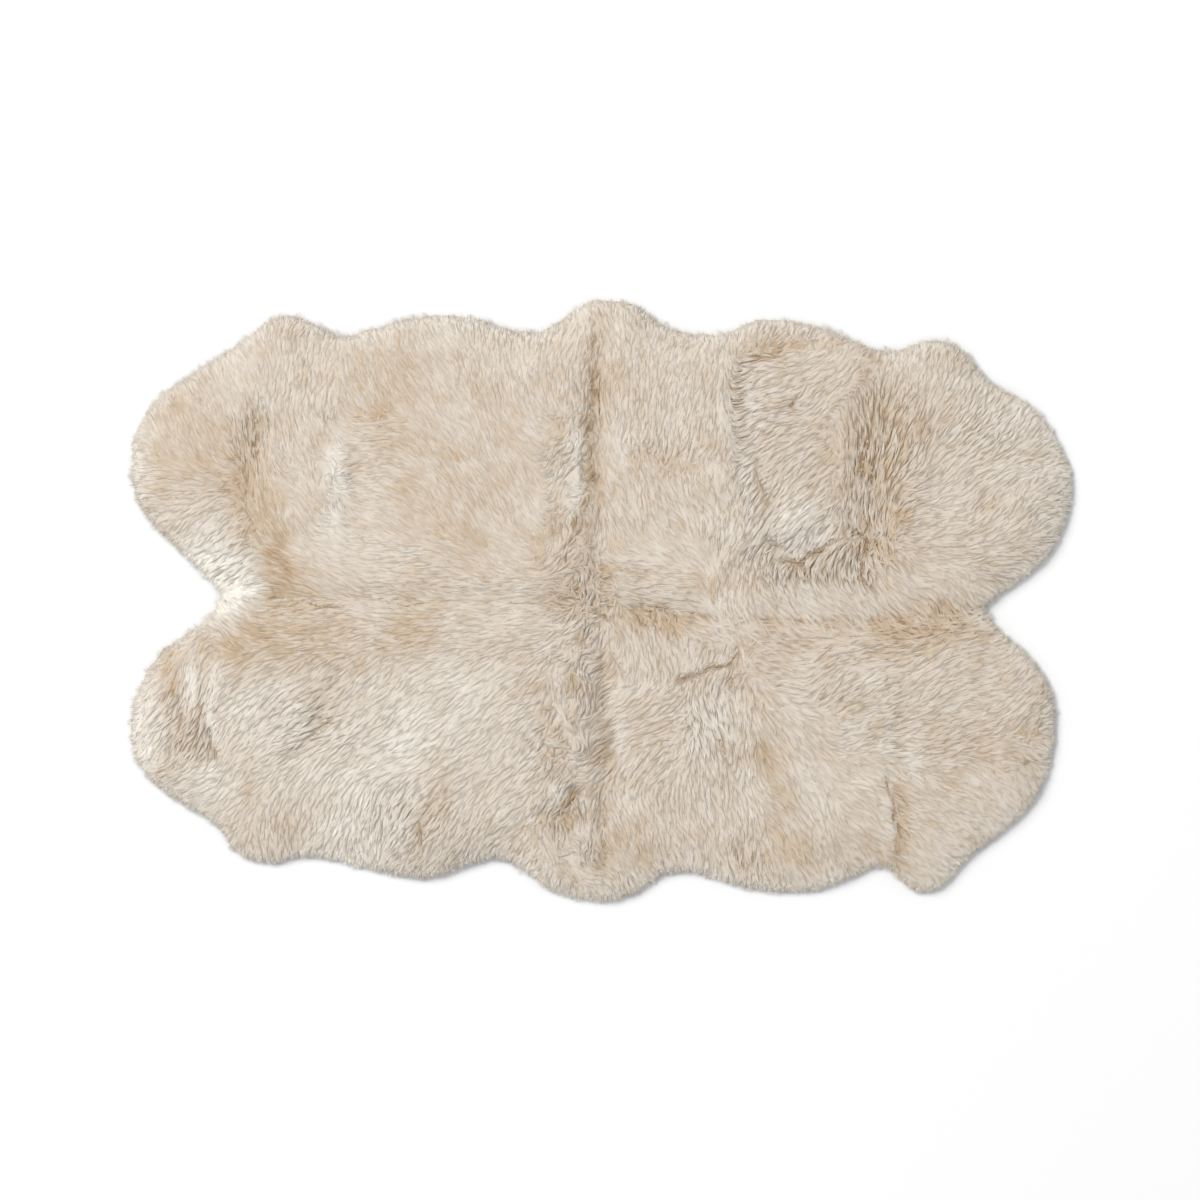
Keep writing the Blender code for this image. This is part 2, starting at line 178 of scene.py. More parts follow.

# %% [markdown]
# ## The lie of the wool
#
# Wool lies the way it was last combed and walked on. The tables below say, for each pelt, which way the
# wool points in each patch: 0 is to the right, 90 to the back. Between two patches it turns smoothly. More
# tables say where the wool is lighter or more tan, in its own colour or in painted light and shade, where
# its locks stand apart, where narrow creases show their roots in painted shade, where tips stand over lower
# wool, and where it is curly.

# %% Comb tables
# (place, x from, x to, y from, y to, heading), in millimetres and degrees
COMB = {
    "back_left": (
        ("top rim, far left", -490, -490, 440, 440, 100),
        ("top rim, left", -440, -295, 390, 510, 115),
        ("top rim, middle", -245, -145, 390, 510, 90),
        ("top rim, right", -100, -20, 390, 490, 78),
        ("leg", -590, -540, 390, 510, 75),
        ("leg's tip", -690, -690, 490, 490, 113),
        ("leg's inner side", -635, -635, 390, 490, 85),
        ("outer slope", -880, -735, 295, 390, 118),
        ("rump's rim", -930, -880, 200, 300, 180),
        ("rump", -830, -735, 245, 245, 165),
        ("rump, below", -830, -735, 195, 195, 200),
        ("white lobe", -830, -700, 40, 145, 220),
        ("hollow", -685, -640, 245, 345, 100),
        ("beside the hollow", -670, -590, 145, 245, 115),
        ("rise from the seam", -635, -490, 25, 100, 150),
        ("inner leg", -590, -540, 195, 345, 103),
        ("flank whorl", -510, -390, 255, 335, 180),
        ("field", -390, -120, 155, 390, 122),
        ("field, lower left", -440, -345, 155, 245, 165),
        ("field, lower right", -245, -145, 98, 98, 142),
        ("field, bottom", -490, -295, 98, 98, 180),
        ("along the cross seam", -735, -100, 0, 5, 180),
        ("spine ridge", -88, -30, 98, 335, 240),
        ("spine's edge", -5, 0, 40, 530, 90),
    ),
    "back_right": (
        ("neck, left", 0, 50, 330, 540, 88),
        ("neck", 50, 130, 305, 540, 82),
        ("neck, right", 130, 262, 285, 540, 78),
        ("by the spine, upper", 50, 100, 145, 270, -75),
        ("by the spine, outer", 145, 145, 150, 195, -52),
        ("by the spine, lower", 100, 145, 98, 98, -40),
        ("crossing", 50, 145, 0, 50, -8),
        ("above the ledge", 160, 262, 140, 250, -88),
        ("flank patch, upper", 278, 390, 294, 470, 205),
        ("flank patch, lower", 294, 450, 118, 245, 232),
        ("flank patch, right", 440, 490, 390, 470, 230),
        ("flank's rim", 294, 490, 539, 539, 50),
        ("great parting", 490, 540, 150, 390, 90),
        ("parting's far side", 590, 635, 294, 440, 68),
        ("rump, upper", 685, 785, 294, 390, 50),
        ("rump's tip", 735, 833, 245, 245, 27),
        ("rump, inner", 635, 685, 150, 195, 17),
        ("rump, middle", 735, 785, 150, 195, 42),
        ("rump's rim", 833, 882, 150, 245, 15),
        ("rump, lower", 637, 882, 98, 98, 3),
        ("rump, bottom", 637, 833, 49, 49, -13),
        ("whorl's left", 440, 490, 98, 98, 238),
        ("whorl's foot", 490, 490, 49, 49, -90),
        ("whorl's right foot", 539, 539, 49, 49, -65),
        ("whorl's right", 588, 588, 49, 49, -42),
        ("below the ledge", 245, 294, 49, 49, 265),
        ("cross seam, left", 343, 490, 0, 0, -52),
        ("cross seam, middle", 539, 539, 0, 0, -42),
        ("cross seam, right", 685, 735, 0, 49, -57),
    ),
    "front_left": (
        ("below the cross seam", -637, -98, -98, -20, 187),
        ("notch", -735, -686, -98, -20, 142),
        ("field", -735, -245, -314, -118, 215),
        ("field, right", -196, -147, -392, -98, 222),
        ("haunch trough", -539, -490, -314, -147, 230),
        ("rump's rim", -882, -784, -294, -98, 230),
        ("rump's rim, lower", -882, -784, -441, -343, 212),
        ("haunch ridge", -812, -795, -215, -115, 283),
        ("haunch ridge, inner", -757, -743, -265, -125, 263),
        ("haunch", -735, -686, -392, -290, 230),
        ("haunch's middle", -700, -686, -245, -200, 230),
        ("leg", -637, -588, -392, -343, 238),
        ("flank's rim", -637, -441, -490, -392, 254),
        ("bottom rim", -392, -147, -529, -392, 236),
        ("by the spine", -98, -49, -314, -98, 240),
        ("spine's edge", 0, 0, -392, -147, 252),
        ("neck", -98, -49, -490, -441, -70),
        ("neck's end", -49, 0, -539, -539, -57),
    ),
    "front_right": (
        ("by the crossing", 98, 157, -118, -78, -78),
        ("below the seam", 196, 245, -147, -98, 250),
        ("seam strip, left", 196, 490, -49, -49, -18),
        ("seam strip, right", 539, 735, -29, -29, 5),
        ("left field", 49, 147, -255, -176, 210),
        ("left field, lower", 98, 98, -294, -294, 225),
        ("left field, right", 147, 147, -294, -294, 243),
        ("middle field", 196, 294, -392, -196, -80),
        ("right field's start, upper", 343, 343, -147, -98, -10),
        ("right field's start", 343, 343, -196, -196, -33),
        ("right field's start, lower", 343, 441, -353, -245, -47),
        ("right field, top", 441, 490, -196, -147, 43),
        ("right field", 490, 784, -274, -98, 20),
        ("right field, middle", 539, 686, -294, -294, 0),
        ("right field, lower", 490, 735, -490, -343, -35),
        ("long crease", 588, 588, -343, -343, -70),
        ("flank", 343, 441, -529, -392, -60),
        ("leg", 490, 539, -490, -441, -55),
        ("neck's rim", 49, 147, -539, -441, -65),
        ("flank's rim", 196, 294, -490, -490, -85),
        ("rump's tip, upper", 784, 833, -245, -147, 43),
        ("rump's tip", 833, 833, -294, -294, -8),
        ("rump's tip, lower", 833, 833, -343, -343, -45),
    ),
}
print("Comb strokes:", sum(len(rows) for rows in COMB.values()))

# %% Tone and curl tables
# (place, x, y, half width, half height, tone): the wool is lighter above zero and more tan below it;
# most patches are the wool's own colour, and those marked below are painted light or painted shade
TONES = (
    ("white lobe, upper", -785, 135, 60, 55, 0.12),
    # painted light in part: the lobe's own white wool is raised further where its slope is shaded
    ("white lobe", -735, 60, 60, 58, 0.38),
    ("white lobe, lower", -690, 18, 34, 24, 0.26),
    # painted shade: darkens a slope that faces the lamp
    ("rump, far left", -830, 285, 95, 115, -0.09),
    ("rim of the rump, left", -900, 290, 26, 70, 0.14),
    ("rump tuft", -516, 236, 20, 92, 0.3),
    ("rump tuft, inner", -603, 225, 12, 62, 0.12),
    ("pale field", -330, -215, 130, 90, 0.15),
    ("pale field, lower", -440, -345, 170, 90, 0.15),
    ("haunch, pale", -650, -220, 70, 60, 0.16),
    ("pale patch over the ledge", 396, 152, 54, 50, 0.17),
    ("flank step", 300, 290, 14, 110, 0.10),
    ("by the ledge", 245, 137, 20, 20, 0.14),
    ("left field", 98, -230, 50, 60, -0.04),
    ("middle field", 200, -260, 60, 80, 0.14),
    ("haunch ridge", -802, -165, 12, 50, 0.24),
    ("tan band under the hollow", -655, 190, 50, 100, -0.10),
    ("back left field, tan", -420, 360, 90, 70, -0.04),
    ("haunch ridge, inner", -750, -195, 12, 75, 0.22),
    ("white locks over the notch", -722, -25, 40, 36, 0.26),
    ("haunch hollow, tan", -532, -190, 22, 50, -0.05),
    ("leg, front right", 540, -510, 60, 50, -0.08),
    ("pale curl, front", -48, -268, 26, 10, 0.16),
    ("pale curl, lower", -78, -380, 10, 18, 0.18),
    ("left of the haunch ridge", -845, -185, 20, 44, -0.06),
    ("golden haunch", -735, -75, 40, 40, -0.07),
    ("pale rim of the rump", -880, -250, 36, 80, 0.22),
    ("parting by the spine", 100, 290, 44, 16, -0.07),
    # painted shade: darkens the top rim, which faces the lamp
    ("top rim, painted shade", -440, 460, 95, 70, -0.10),
    ("left field, tan", -330, 200, 160, 120, -0.04),
    ("bottom rim, pale", -490, -470, 110, 48, 0.16),
    ("rump, front right", 695, -255, 70, 90, -0.06),
    ("flank, front right", 402, -490, 56, 44, -0.08),
    ("over the right seam", 245, 30, 80, 28, -0.19),
    ("rump, back right", 800, 290, 150, 170, 0.05),
    ("back left pelt", -480, 270, 440, 260, -0.025),
    ("front right field", 480, -270, 260, 240, 0.045),
    ("flank patch, low", 388, 185, 60, 60, 0.07),
    ("gold spot", 498, -192, 24, 24, -0.11),
    ("gold spot, lower", 541, -243, 18, 26, -0.08),
    ("pale tuft", 611, -308, 16, 14, 0.20),
    ("hollow, upper", -680, 315, 28, 54, -0.09),
    ("hollow, lower", -705, 245, 28, 40, -0.05),
    ("tuft over the hollow", -659, 374, 18, 12, 0.14),
    ("inner leg's ridge", -562, 440, 8, 40, 0.08),
    ("field's yellow spot", -135, 343, 20, 14, 0.05),
    ("pale strip by the spine", 40, 300, 11, 60, 0.14),
    ("spine curls, back", -50, 260, 12, 100, 0.20),
    ("spine curls, tan side", -24, 250, 8, 90, -0.08),
    ("spine curls, top", -53, 378, 24, 8, 0.16),
    ("tan wool over the crossing", -70, 62, 65, 28, -0.10),
    ("pale wool over the crossing", 8, 76, 26, 14, 0.08),
    ("below the hollow", -640, 100, 60, 80, -0.12),
    ("great parting", 562, 258, 76, 150, -0.085),
    ("whorl", 535, 80, 50, 60, -0.03),
    # painted shade under the ledge's overhanging tips
    ("under the ledge", 402, 60, 60, 24, -0.02),
    ("crossing", -15, 20, 60, 60, -0.03),
    ("notch hollow", -700, -60, 60, 50, -0.06),
    ("golden field under the left seam", -580, -75, 190, 60, -0.12),
    ("beside the white lobe", -628, 60, 24, 60, -0.10),
    ("under the cross seam", -353, -69, 50, 40, -0.08),
    ("flank hollow", -355, -440, 30, 36, -0.08),
    ("seam hollow", 127, -41, 66, 30, -0.18),
    ("cross seam, mid right", 330, -45, 60, 9, -0.12),
    ("cross seam, right", 470, -45, 90, 9, -0.10),
    ("seam hollow, right", 637, -60, 100, 50, -0.2),
    ("below the right seam", 480, -90, 150, 40, -0.08),
    # painted shade: darkens the rim that slopes away from the lamp
    ("rump's rim, front right", 870, -230, 60, 190, -0.06),
    ("rump's rim, back right", 875, 160, 32, 100, 0.10),
    ("parted line", 265, -167, 24, 18, -0.08),
    ("flank dimple", 284, -510, 18, 18, -0.14),
    ("spine hollow, front", -78, -437, 34, 18, -0.14),
    ("pocket, front", -53, -382, 10, 12, -0.16),
    ("pocket, back", -41, 153, 10, 14, -0.30),
    ("by the spine, front", -49, -157, 16, 16, -0.10),
    ("neck, front right", 60, -485, 40, 44, -0.16),
    ("neck, back", 0, 440, 90, 60, -0.06),
    ("spine strip, back", -14, 300, 12, 230, -0.08),
    ("spine strip, front", 4, -350, 22, 230, -0.05),
    ("tan edge of the pale field", -325, -370, 36, 50, -0.14),
    ("pale locks by the spine, front", 50, -290, 12, 90, 0.13),
    # painted shade: darkens a smooth valley
    ("smooth valley, painted shade", 345, -365, 40, 110, -0.15),
    ("rump fold, upper", -843, -147, 22, 48, -0.12),
    ("haunch, lower", -775, -355, 56, 44, 0.14),
    ("haunch ledge", -690, -360, 20, 40, -0.12),
    ("rump crease, upper", 852, 278, 18, 16, -0.10),
    ("rump crease, lower", 755, 186, 14, 16, -0.14),
    ("long crease", 590, -420, 12, 110, -0.12),
    ("crease's ridge", 568, -240, 12, 90, 0.08),
    ("crease's far side", 592, -240, 10, 90, -0.08),
    ("flank patch, top", 310, 480, 30, 20, -0.10),
    ("flank patch, top right", 350, 500, 20, 14, -0.06),
)
# (place, x, y, half width, half height, openness): where the locks stand apart and show their roots
PARTINGS = (
    ("great parting", 545, 258, 50, 155, 0.54),
    ("whorl", 520, 90, 60, 60, 0.55),
    # partly painted shade: the parted roots under the ledge are darkened as if in its shadow
    ("under the ledge", 395, 66, 66, 28, 0.6),
    ("front right pelt", 400, -270, 420, 260, 0.13),
    ("back right pelt", 480, 250, 420, 280, 0.08),
    ("front left pelt", -420, -290, 440, 260, 0.06),
    ("hollow, upper", -680, 305, 28, 64, 0.26),
    ("hollow, lower", -705, 240, 30, 44, 0.26),
    ("flank patch", 370, 330, 80, 150, 0.08),
    ("haunch locks", -500, -340, 230, 130, 0.05),
    ("bottom locks", -300, -440, 200, 60, 0.06),
    ("crossing", -15, 20, 60, 60, 0.32),
    ("notch", -735, -30, 60, 60, 0.3),
    ("white lobe", -745, 85, 80, 90, 0.08),
    ("haunch hollow", -535, -208, 20, 40, 0.25),
    ("haunch ledge", -540, -250, 70, 34, 0.3),
    ("flank hollow", -370, -425, 60, 50, 0.2),
    ("pocket, front", -53, -382, 12, 14, 0.7),
    ("hollow, front", -88, -427, 34, 20, 0.28),
    ("pocket, back", -41, 153, 12, 18, 1.0),
    ("spine seam, back", -12, 360, 8, 130, 0.35),
    ("by the spine, front", -49, -157, 20, 24, 0.4),
    ("spine seam, front", 18, -310, 7, 130, 0.35),
    ("middle creases", 215, -240, 50, 70, 0.35),
    ("long crease", 590, -420, 12, 110, 0.45),
    ("flank dimple", 284, -510, 26, 22, 0.7),
    ("seam hollow", 127, -41, 60, 24, 0.35),
    ("rump fold", -800, -230, 70, 70, 0.4),
    ("parting by the spine", 110, 290, 60, 18, 0.35),
    ("back right rim", 760, 330, 60, 60, 0.3),
    ("right seam", 640, -45, 110, 34, 0.38),
    ("rump crease, upper", 852, 278, 22, 12, 0.25),
    ("rump crease, front right", 880, -200, 40, 10, 0.5),
    ("flank patch, top", 315, 478, 26, 20, 0.5),
    ("flank step", 275, 400, 8, 60, 0.8),
)
# (place, x, y, to x, to y, half width, depth): narrow creases, where depth 1 shows the roots; each is
# lowered, and darkened with painted shade on its strands and on dark strands laid along it
CREASES = (
    ("slit by the spine", -7, 521, -8, 490, 5, 0.65),
    ("slit by the spine, lower", -10, 462, -12, 400, 5, 0.55),
    ("spine curls, left", -80, 218, -90, 132, 5, 0.6),
    ("spine curls, foot", -65, 94, -65, 80, 5, 0.7),
    ("spine, right of the seam", 18, 222, 22, 184, 5, 0.55),
    ("seam over the crossing", -320, 43, -165, 47, 4, 0.5),
    ("rump tuft's right side", -500, 225, -499, 140, 4, 0.45),
    ("rise, upper line", -574, 98, -490, 40, 4, 0.4),
    ("rise, lower line", -560, 70, -500, 30, 4, 0.4),
    ("hollow, upper stroke", -680, 345, -672, 300, 5, 0.55),
    ("hollow, lower stroke", -715, 255, -722, 232, 5, 0.4),
    ("spine, cross strokes", 33, -104, 54, -147, 6, 0.6),
    ("crossing", -27, -18, 14, -43, 6, 0.7),
    ("seam by the crossing", 45, -20, 170, -24, 5, 0.4),
    ("cross seam, mid right", 170, -24, 314, -39, 4, 0.5),
    ("cross seam, right", 314, -39, 510, -46, 4, 0.5),
    ("parted line, left", 167, -151, 255, -114, 5.5, 0.9),
    ("parted line, right", 255, -114, 268, -98, 5.5, 0.8),
    ("under the parted line", 261, -155, 261, -168, 6, 0.7),
    ("right field's strokes, left", 425, -192, 438, -180, 5.5, 0.6),
    ("right field's strokes, right", 458, -196, 470, -180, 5.5, 0.6),
    ("diagonal valley", 288, -288, 431, -210, 14, 0.22),
    ("middle field's crease", 245, -278, 261, -320, 5.5, 0.6),
    ("left field's crease", 121, -261, 147, -216, 5, 0.5),
    ("flank, lower left strokes", -350, -441, -350, -476, 6, 0.6),
    ("left cross seam", -647, 0, -500, -2, 5, 0.66),
    ("left cross seam, middle", -480, -4, -353, -6, 5, 0.52),
    ("haunch, long crease", -610, -306, -512, -227, 5, 0.55),
    ("haunch hollow, upper", -526, -152, -540, -190, 4, 0.5),
    ("haunch hollow, lower", -535, -200, -552, -245, 4, 0.52),
    ("rump fold, right", -757, -300, -727, -325, 5, 0.5),
    ("rump fold, upper", -755, -245, -757, -300, 5, 0.65),
    ("haunch ridge", -825, -141, -806, -215, 6, 0.4),
    ("great parting, upper", 529, 333, 527, 294, 5, 0.7),
    ("great parting, lower", 541, 263, 538, 223, 5, 0.7),
    ("great parting, left", 510, 320, 506, 300, 5, 0.85),
    ("great parting, middle", 517, 278, 514, 247, 5, 0.9),
    ("great parting, foot", 526, 200, 522, 165, 5, 0.6),
    ("flank patch, foot left", 340, 92, 386, 82, 5, 0.6),
    ("flank patch, foot right", 386, 82, 440, 104, 5, 0.6),
    ("whorl, above", 484, 137, 519, 114, 6, 0.6),
    ("whorl, below", 519, 108, 510, 59, 6, 0.8),
    ("whorl, foot", 510, 59, 549, 20, 6, 0.6),
    ("rump, curved line", 770, 215, 755, 168, 7, 0.4),
    ("rump, curved line, lower", 755, 168, 708, 92, 7, 0.4),
    ("seam, dark spots", 676, 49, 729, 6, 8, 0.4),
    ("flank patch, top left", 296, 472, 340, 504, 5, 0.5),
    ("flank patch, left upper", 306, 472, 290, 436, 4, 0.5),
    ("flank patch, left", 286, 425, 288, 345, 3.6, 0.5),
    ("flank patch, middle", 367, 384, 384, 402, 5.5, 0.9),
    ("flank patch, top", 410, 508, 419, 488, 5, 0.8),
    ("flank patch, right", 447, 343, 466, 402, 6, 0.4),
    ("neck stroke, left", 67, 331, 72, 317, 4, 0.8),
    ("neck stroke, middle", 84, 320, 88, 304, 4, 0.8),
    ("neck stroke, right", 104, 341, 96, 325, 4, 0.8),
    ("flank patch, lower left", 300, 310, 332, 184, 6, 0.5),
    ("whirl's foot", 318, 131, 345, 122, 6, 0.6),
    ("spine seam, front", 16, -280, 16, -430, 4, 0.45),
    ("spine seam, foot", 8, -480, 12, -555, 4, 0.5),
    ("long crease, upper", 564, -349, 572, -408, 6, 0.7),
    ("long crease, lower", 572, -408, 584, -482, 6, 0.7),
    ("rump mark, upper", 794, -139, 786, -163, 6, 0.5),
    ("rump mark, middle", 727, -284, 719, -308, 6, 0.5),
    ("rump mark, right", 830, -322, 838, -316, 6, 0.6),
    ("rump mark, lower", 682, -410, 686, -422, 7, 0.4),
    ("rump mark, inner", 688, -330, 692, -340, 7, 0.4),
)
# (place, x, y, half width, half height, rise in mm): where tips stand over lower wool beside them
LEDGES = (
    ("flank patch, foot", 370, 130, 95, 40, 9),
    ("flank patch, left", 318, 300, 36, 160, 8),
    ("white lobe, right", -700, 90, 40, 60, 6),
    ("haunch ridge", -600, -200, 60, 40, 4),
    ("flank, lower left", -420, -390, 60, 40, 4),
    ("rump over the parting", 600, 300, 30, 120, 3),
)
# (place, x, y, half width, half height, curl): where the wool is curly rather than combed
CURLS = (
    ("spine ridge, back", -50, 225, 28, 130, 0.8),
    ("spine ridge, front", -66, -290, 42, 200, 0.85),
    ("below the crossing", -20, -95, 55, 60, 0.6),
    ("bump by the spine, front", -50, -515, 60, 50, 0.6),
    ("crossing", -15, 20, 50, 50, 0.7),
    ("rump tuft", -520, 236, 24, 95, 0.9),
    ("rump tuft, inner", -603, 225, 16, 62, 0.4),
    ("rump's middle", 840, 190, 40, 50, 0.4),
)

# %% [markdown]
# ## Maps of the rug
#
# The strands need to know, at any place, how high the pelt is, which pelt it is, how the wool lies and how
# light it is. A ray shot down at each point of a fine grid gives the height, and the tables give the rest.
# Each map is an array over that grid, and a strand reads it between four grid points.

# %% Grid
GRID = 4 * MM
MARGIN = 60 * MM  # beyond the solids' box
SHORT_OF_END = 1.001  # grid points, so that each place has a grid point on either side
map_low = np.array([cad_low.x - MARGIN, cad_low.y - MARGIN])
map_size = np.array([cad_high.x + MARGIN, cad_high.y + MARGIN]) - map_low
columns, rows = (int(side / GRID) + 1 for side in map_size)
map_x, map_y = np.meshgrid(map_low[0] + np.arange(columns) * GRID, map_low[1] + np.arange(rows) * GRID)
print("Maps of", columns, "by", rows, "points")


def read_map(values, x, y):
    """A map's value at each place, between the four grid points around it."""
    column = np.clip((x - map_low[0]) / GRID, 0, columns - SHORT_OF_END)
    row = np.clip((y - map_low[1]) / GRID, 0, rows - SHORT_OF_END)
    i, j = column.astype(int), row.astype(int)
    across, up = column - i, row - j
    below = values[j, i] * (1 - across) + values[j, i + 1] * across
    above = values[j + 1, i] * (1 - across) + values[j + 1, i + 1] * across
    return below * (1 - up) + above * up


def soften(values, spread):
    """A map blurred over that many metres."""
    along_y = np.fft.fftfreq(rows, GRID)[:, None]
    along_x = np.fft.rfftfreq(columns, GRID)
    gain = np.exp(-2 * (math.pi * spread) ** 2 * (along_x**2 + along_y**2))
    return np.fft.irfft2(np.fft.rfft2(values) * gain, s=values.shape)


# %% Height maps
SKY = 1.0  # metres up, where the rays start


def shoot_heights(node):
    """The height of a CAD node's top over each grid point, 0 beside it."""
    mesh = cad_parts[node].data
    mesh.calc_loop_triangles()
    corners = [v.co.copy() for v in mesh.vertices]
    triangles = [tuple(t.vertices) for t in mesh.loop_triangles]
    tree = BVHTree.FromPolygons(corners, triangles)
    heights = np.zeros((rows, columns))
    low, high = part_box(node)
    in_box = (map_x > low.x) & (map_x < high.x) & (map_y > low.y) & (map_y < high.y)
    for j, i in zip(*np.nonzero(in_box)):
        hit = tree.ray_cast((map_x[j, i], map_y[j, i], SKY), (0, 0, -1))[0]
        if hit:
            heights[j, i] = hit.z
    return heights


solid_heights = {pelt: shoot_heights("pelt_" + pelt) for pelt in PELTS}
solid_height = sum(solid_heights.values())
print("Highest wool in the solids:", round(solid_height.max() / MM, 1), "mm")

# %% [markdown]
# The solids end in coarse locks with gaps between them, and the strands will make finer ones. So the rug's
# outline comes from a blur: its cover is 1 well inside the rug, about a half at the outline and 0 outside,
# and the way out of the rug is the way in which the cover falls. The seams between pelts count as covered.

# %% Cover and surface maps
RIM_SPREAD = 9 * MM  # closes the gaps between the solids' locks
LEAST_COVER = 0.05
cover = soften((solid_height > 0).astype(float), RIM_SPREAD)
surface = soften(solid_height, RIM_SPREAD) / np.maximum(cover, LEAST_COVER)
share = {pelt: soften((solid_heights[pelt] > 0).astype(float), RIM_SPREAD) for pelt in PELTS}
rim_y, rim_x = np.gradient(-cover, GRID)
rim_steepness = np.hypot(rim_x, rim_y) + 1e-6
rim_x, rim_y = rim_x / rim_steepness, rim_y / rim_steepness


INSIDE = 0.98  # the cover is more than this well inside the rug


def rim_share(x, y, from_cover, fall):
    """0 well inside the rug, and up to 1 where the cover has fallen by that much."""
    return np.clip((from_cover - read_map(cover, x, y)) / fall, 0, 1)


# %% Uneven maps
def uneven_map(spread, strength):
    """Smooth unevenness with lumps of about that spread, and a standard deviation of strength."""
    rough = soften(chance.normal(size=(rows, columns)), spread)
    return strength * rough / rough.std()


# The patches in the tables have plain shapes, so they are read at places that are shifted unevenly.
shifted_x = map_x + uneven_map(28 * MM, 5 * MM) + uneven_map(9 * MM, 3 * MM)
shifted_y = map_y + uneven_map(28 * MM, 5 * MM) + uneven_map(9 * MM, 3 * MM)

# %% Slopes
SLOPE_SHARE = 0.22  # wool evens out the slopes that it is lit by
lumps = uneven_map(7 * MM, 0.3 * MM) + uneven_map(14 * MM, 0.4 * MM)  # and adds small ones
slope_y, slope_x = np.gradient(surface * cover * SLOPE_SHARE + lumps, GRID)
slope_length = np.sqrt(slope_x**2 + slope_y**2 + 1)
ground_normal = (-slope_x / slope_length, -slope_y / slope_length, 1 / slope_length)

# %% Comb maps
STROKE_SOFTNESS = 16 * MM  # how soft the turn from one stroke to the next is
COMB_BLUR = 7 * MM


def box_distance(x_from, x_to, y_from, y_to):
    """The distance from each grid point to a box given in millimetres."""
    beside = np.maximum(np.maximum(x_from * MM - shifted_x, shifted_x - x_to * MM), 0)
    above = np.maximum(np.maximum(y_from * MM - shifted_y, shifted_y - y_to * MM), 0)
    return np.hypot(beside, above)


def comb_map(strokes):
    """The wool's direction over each grid point, from the strokes nearest to it, and its axis."""
    along_x, along_y, axis_x, axis_y = np.zeros((4, rows, columns))
    for _place, x_from, x_to, y_from, y_to, heading in strokes:
        near = box_distance(x_from, x_to, y_from, y_to) ** 2 + STROKE_SOFTNESS**2
        along_x += math.cos(math.radians(heading)) / near**2
        along_y += math.sin(math.radians(heading)) / near**2
        axis_x += math.cos(math.radians(2 * heading)) / near**2
        axis_y += math.sin(math.radians(2 * heading)) / near**2
    length = np.hypot(along_x, along_y)
    direction = soften(along_x / length, COMB_BLUR), soften(along_y / length, COMB_BLUR)
    return direction, (axis_x, axis_y)


comb, comb_axis = {}, {}
for pelt in PELTS:
    comb[pelt], comb_axis[pelt] = comb_map(COMB[pelt])

# %% Patch and crease maps
PATCH_FALL = 0.7  # halves a patch's value at its half width
PATCH_POWER = 1.5  # more than 1 makes it flatter in the middle and steeper at its edge


def patch_map(patches):
    """The sum of soft round patches."""
    total = np.zeros((rows, columns))
    for _place, x, y, half_width, half_height, value in patches:
        beside = (shifted_x - x * MM) / (half_width * MM)
        above = (shifted_y - y * MM) / (half_height * MM)
        total += value * np.exp(-((beside**2 + above**2) ** PATCH_POWER) * PATCH_FALL)
    return total


def crease_maps(creases):
    """How deep in a crease each grid point is, and the heading of the deepest crease there."""
    total, headings = np.zeros((2, rows, columns))
    for _place, x, y, to_x, to_y, half_width, depth in creases:
        run_x, run_y = (to_x - x) * MM, (to_y - y) * MM
        from_x, from_y = shifted_x - x * MM, shifted_y - y * MM
        along = np.clip((from_x * run_x + from_y * run_y) / (run_x**2 + run_y**2), 0, 1)
        distance = np.hypot(from_x - along * run_x, from_y - along * run_y)
        here = depth * np.exp(-((distance / (half_width * MM)) ** 2))
        headings[here > total] = math.atan2(run_y, run_x)
        total = np.maximum(total, here)
    return total, headings


curl_map = patch_map(CURLS)
crease_map, crease_heading = crease_maps(CREASES)

# %% Tone, openness, rise and sway maps
SEAM_OPENNESS = 0.18  # how far the locks stand apart along a seam
CREASE_OPENNESS = 0.5  # and in a crease, as a share of its depth
SEAM_TONE = -0.03
RIM_PAINTED_LIGHT = 0.06  # painted light: how much lighter the wool is at the outline, against the shade of its falling rim
RIM_PAINTED_LIGHT_SPREAD = 25 * MM
SEAM_LEVEL = 0.6  # how far a seam shows, on average
MOST_SEAM = 1.2  # and at most
LEAST_SEAM_COVER = 0.5
fine_tone_map = uneven_map(30 * MM, 0.022) + uneven_map(16 * MM, 0.015) + uneven_map(8 * MM, 0.034)
fine_tone_map += curl_map * uneven_map(10 * MM, 0.06)
seam_map = np.zeros((rows, columns))
for first, second in itertools.combinations(PELTS, 2):  # 1 where two pelts have an equal share
    seam_map += 4 * share[first] * share[second] / np.maximum(cover, LEAST_SEAM_COVER) ** 2
seam_map *= np.clip(SEAM_LEVEL + uneven_map(25 * MM, 0.4), 0, MOST_SEAM)
open_map = np.clip(patch_map(PARTINGS) + SEAM_OPENNESS * seam_map + CREASE_OPENNESS * crease_map, 0, 1)
tone_map = patch_map(TONES)
# the outline is lightened with painted light
tone_map += SEAM_TONE * seam_map + RIM_PAINTED_LIGHT * 2 * (1 - soften(cover, RIM_PAINTED_LIGHT_SPREAD))
rise_map = patch_map(LEDGES) + curl_map * uneven_map(10 * MM, 3)  # mm
sway_map = uneven_map(22 * MM, 0.11) + uneven_map(8 * MM, 0.035)  # radians
sway_map += curl_map * uneven_map(13 * MM, 1.2)
print("Tone from", round(tone_map.min(), 2), "to", round(tone_map.max(), 2))

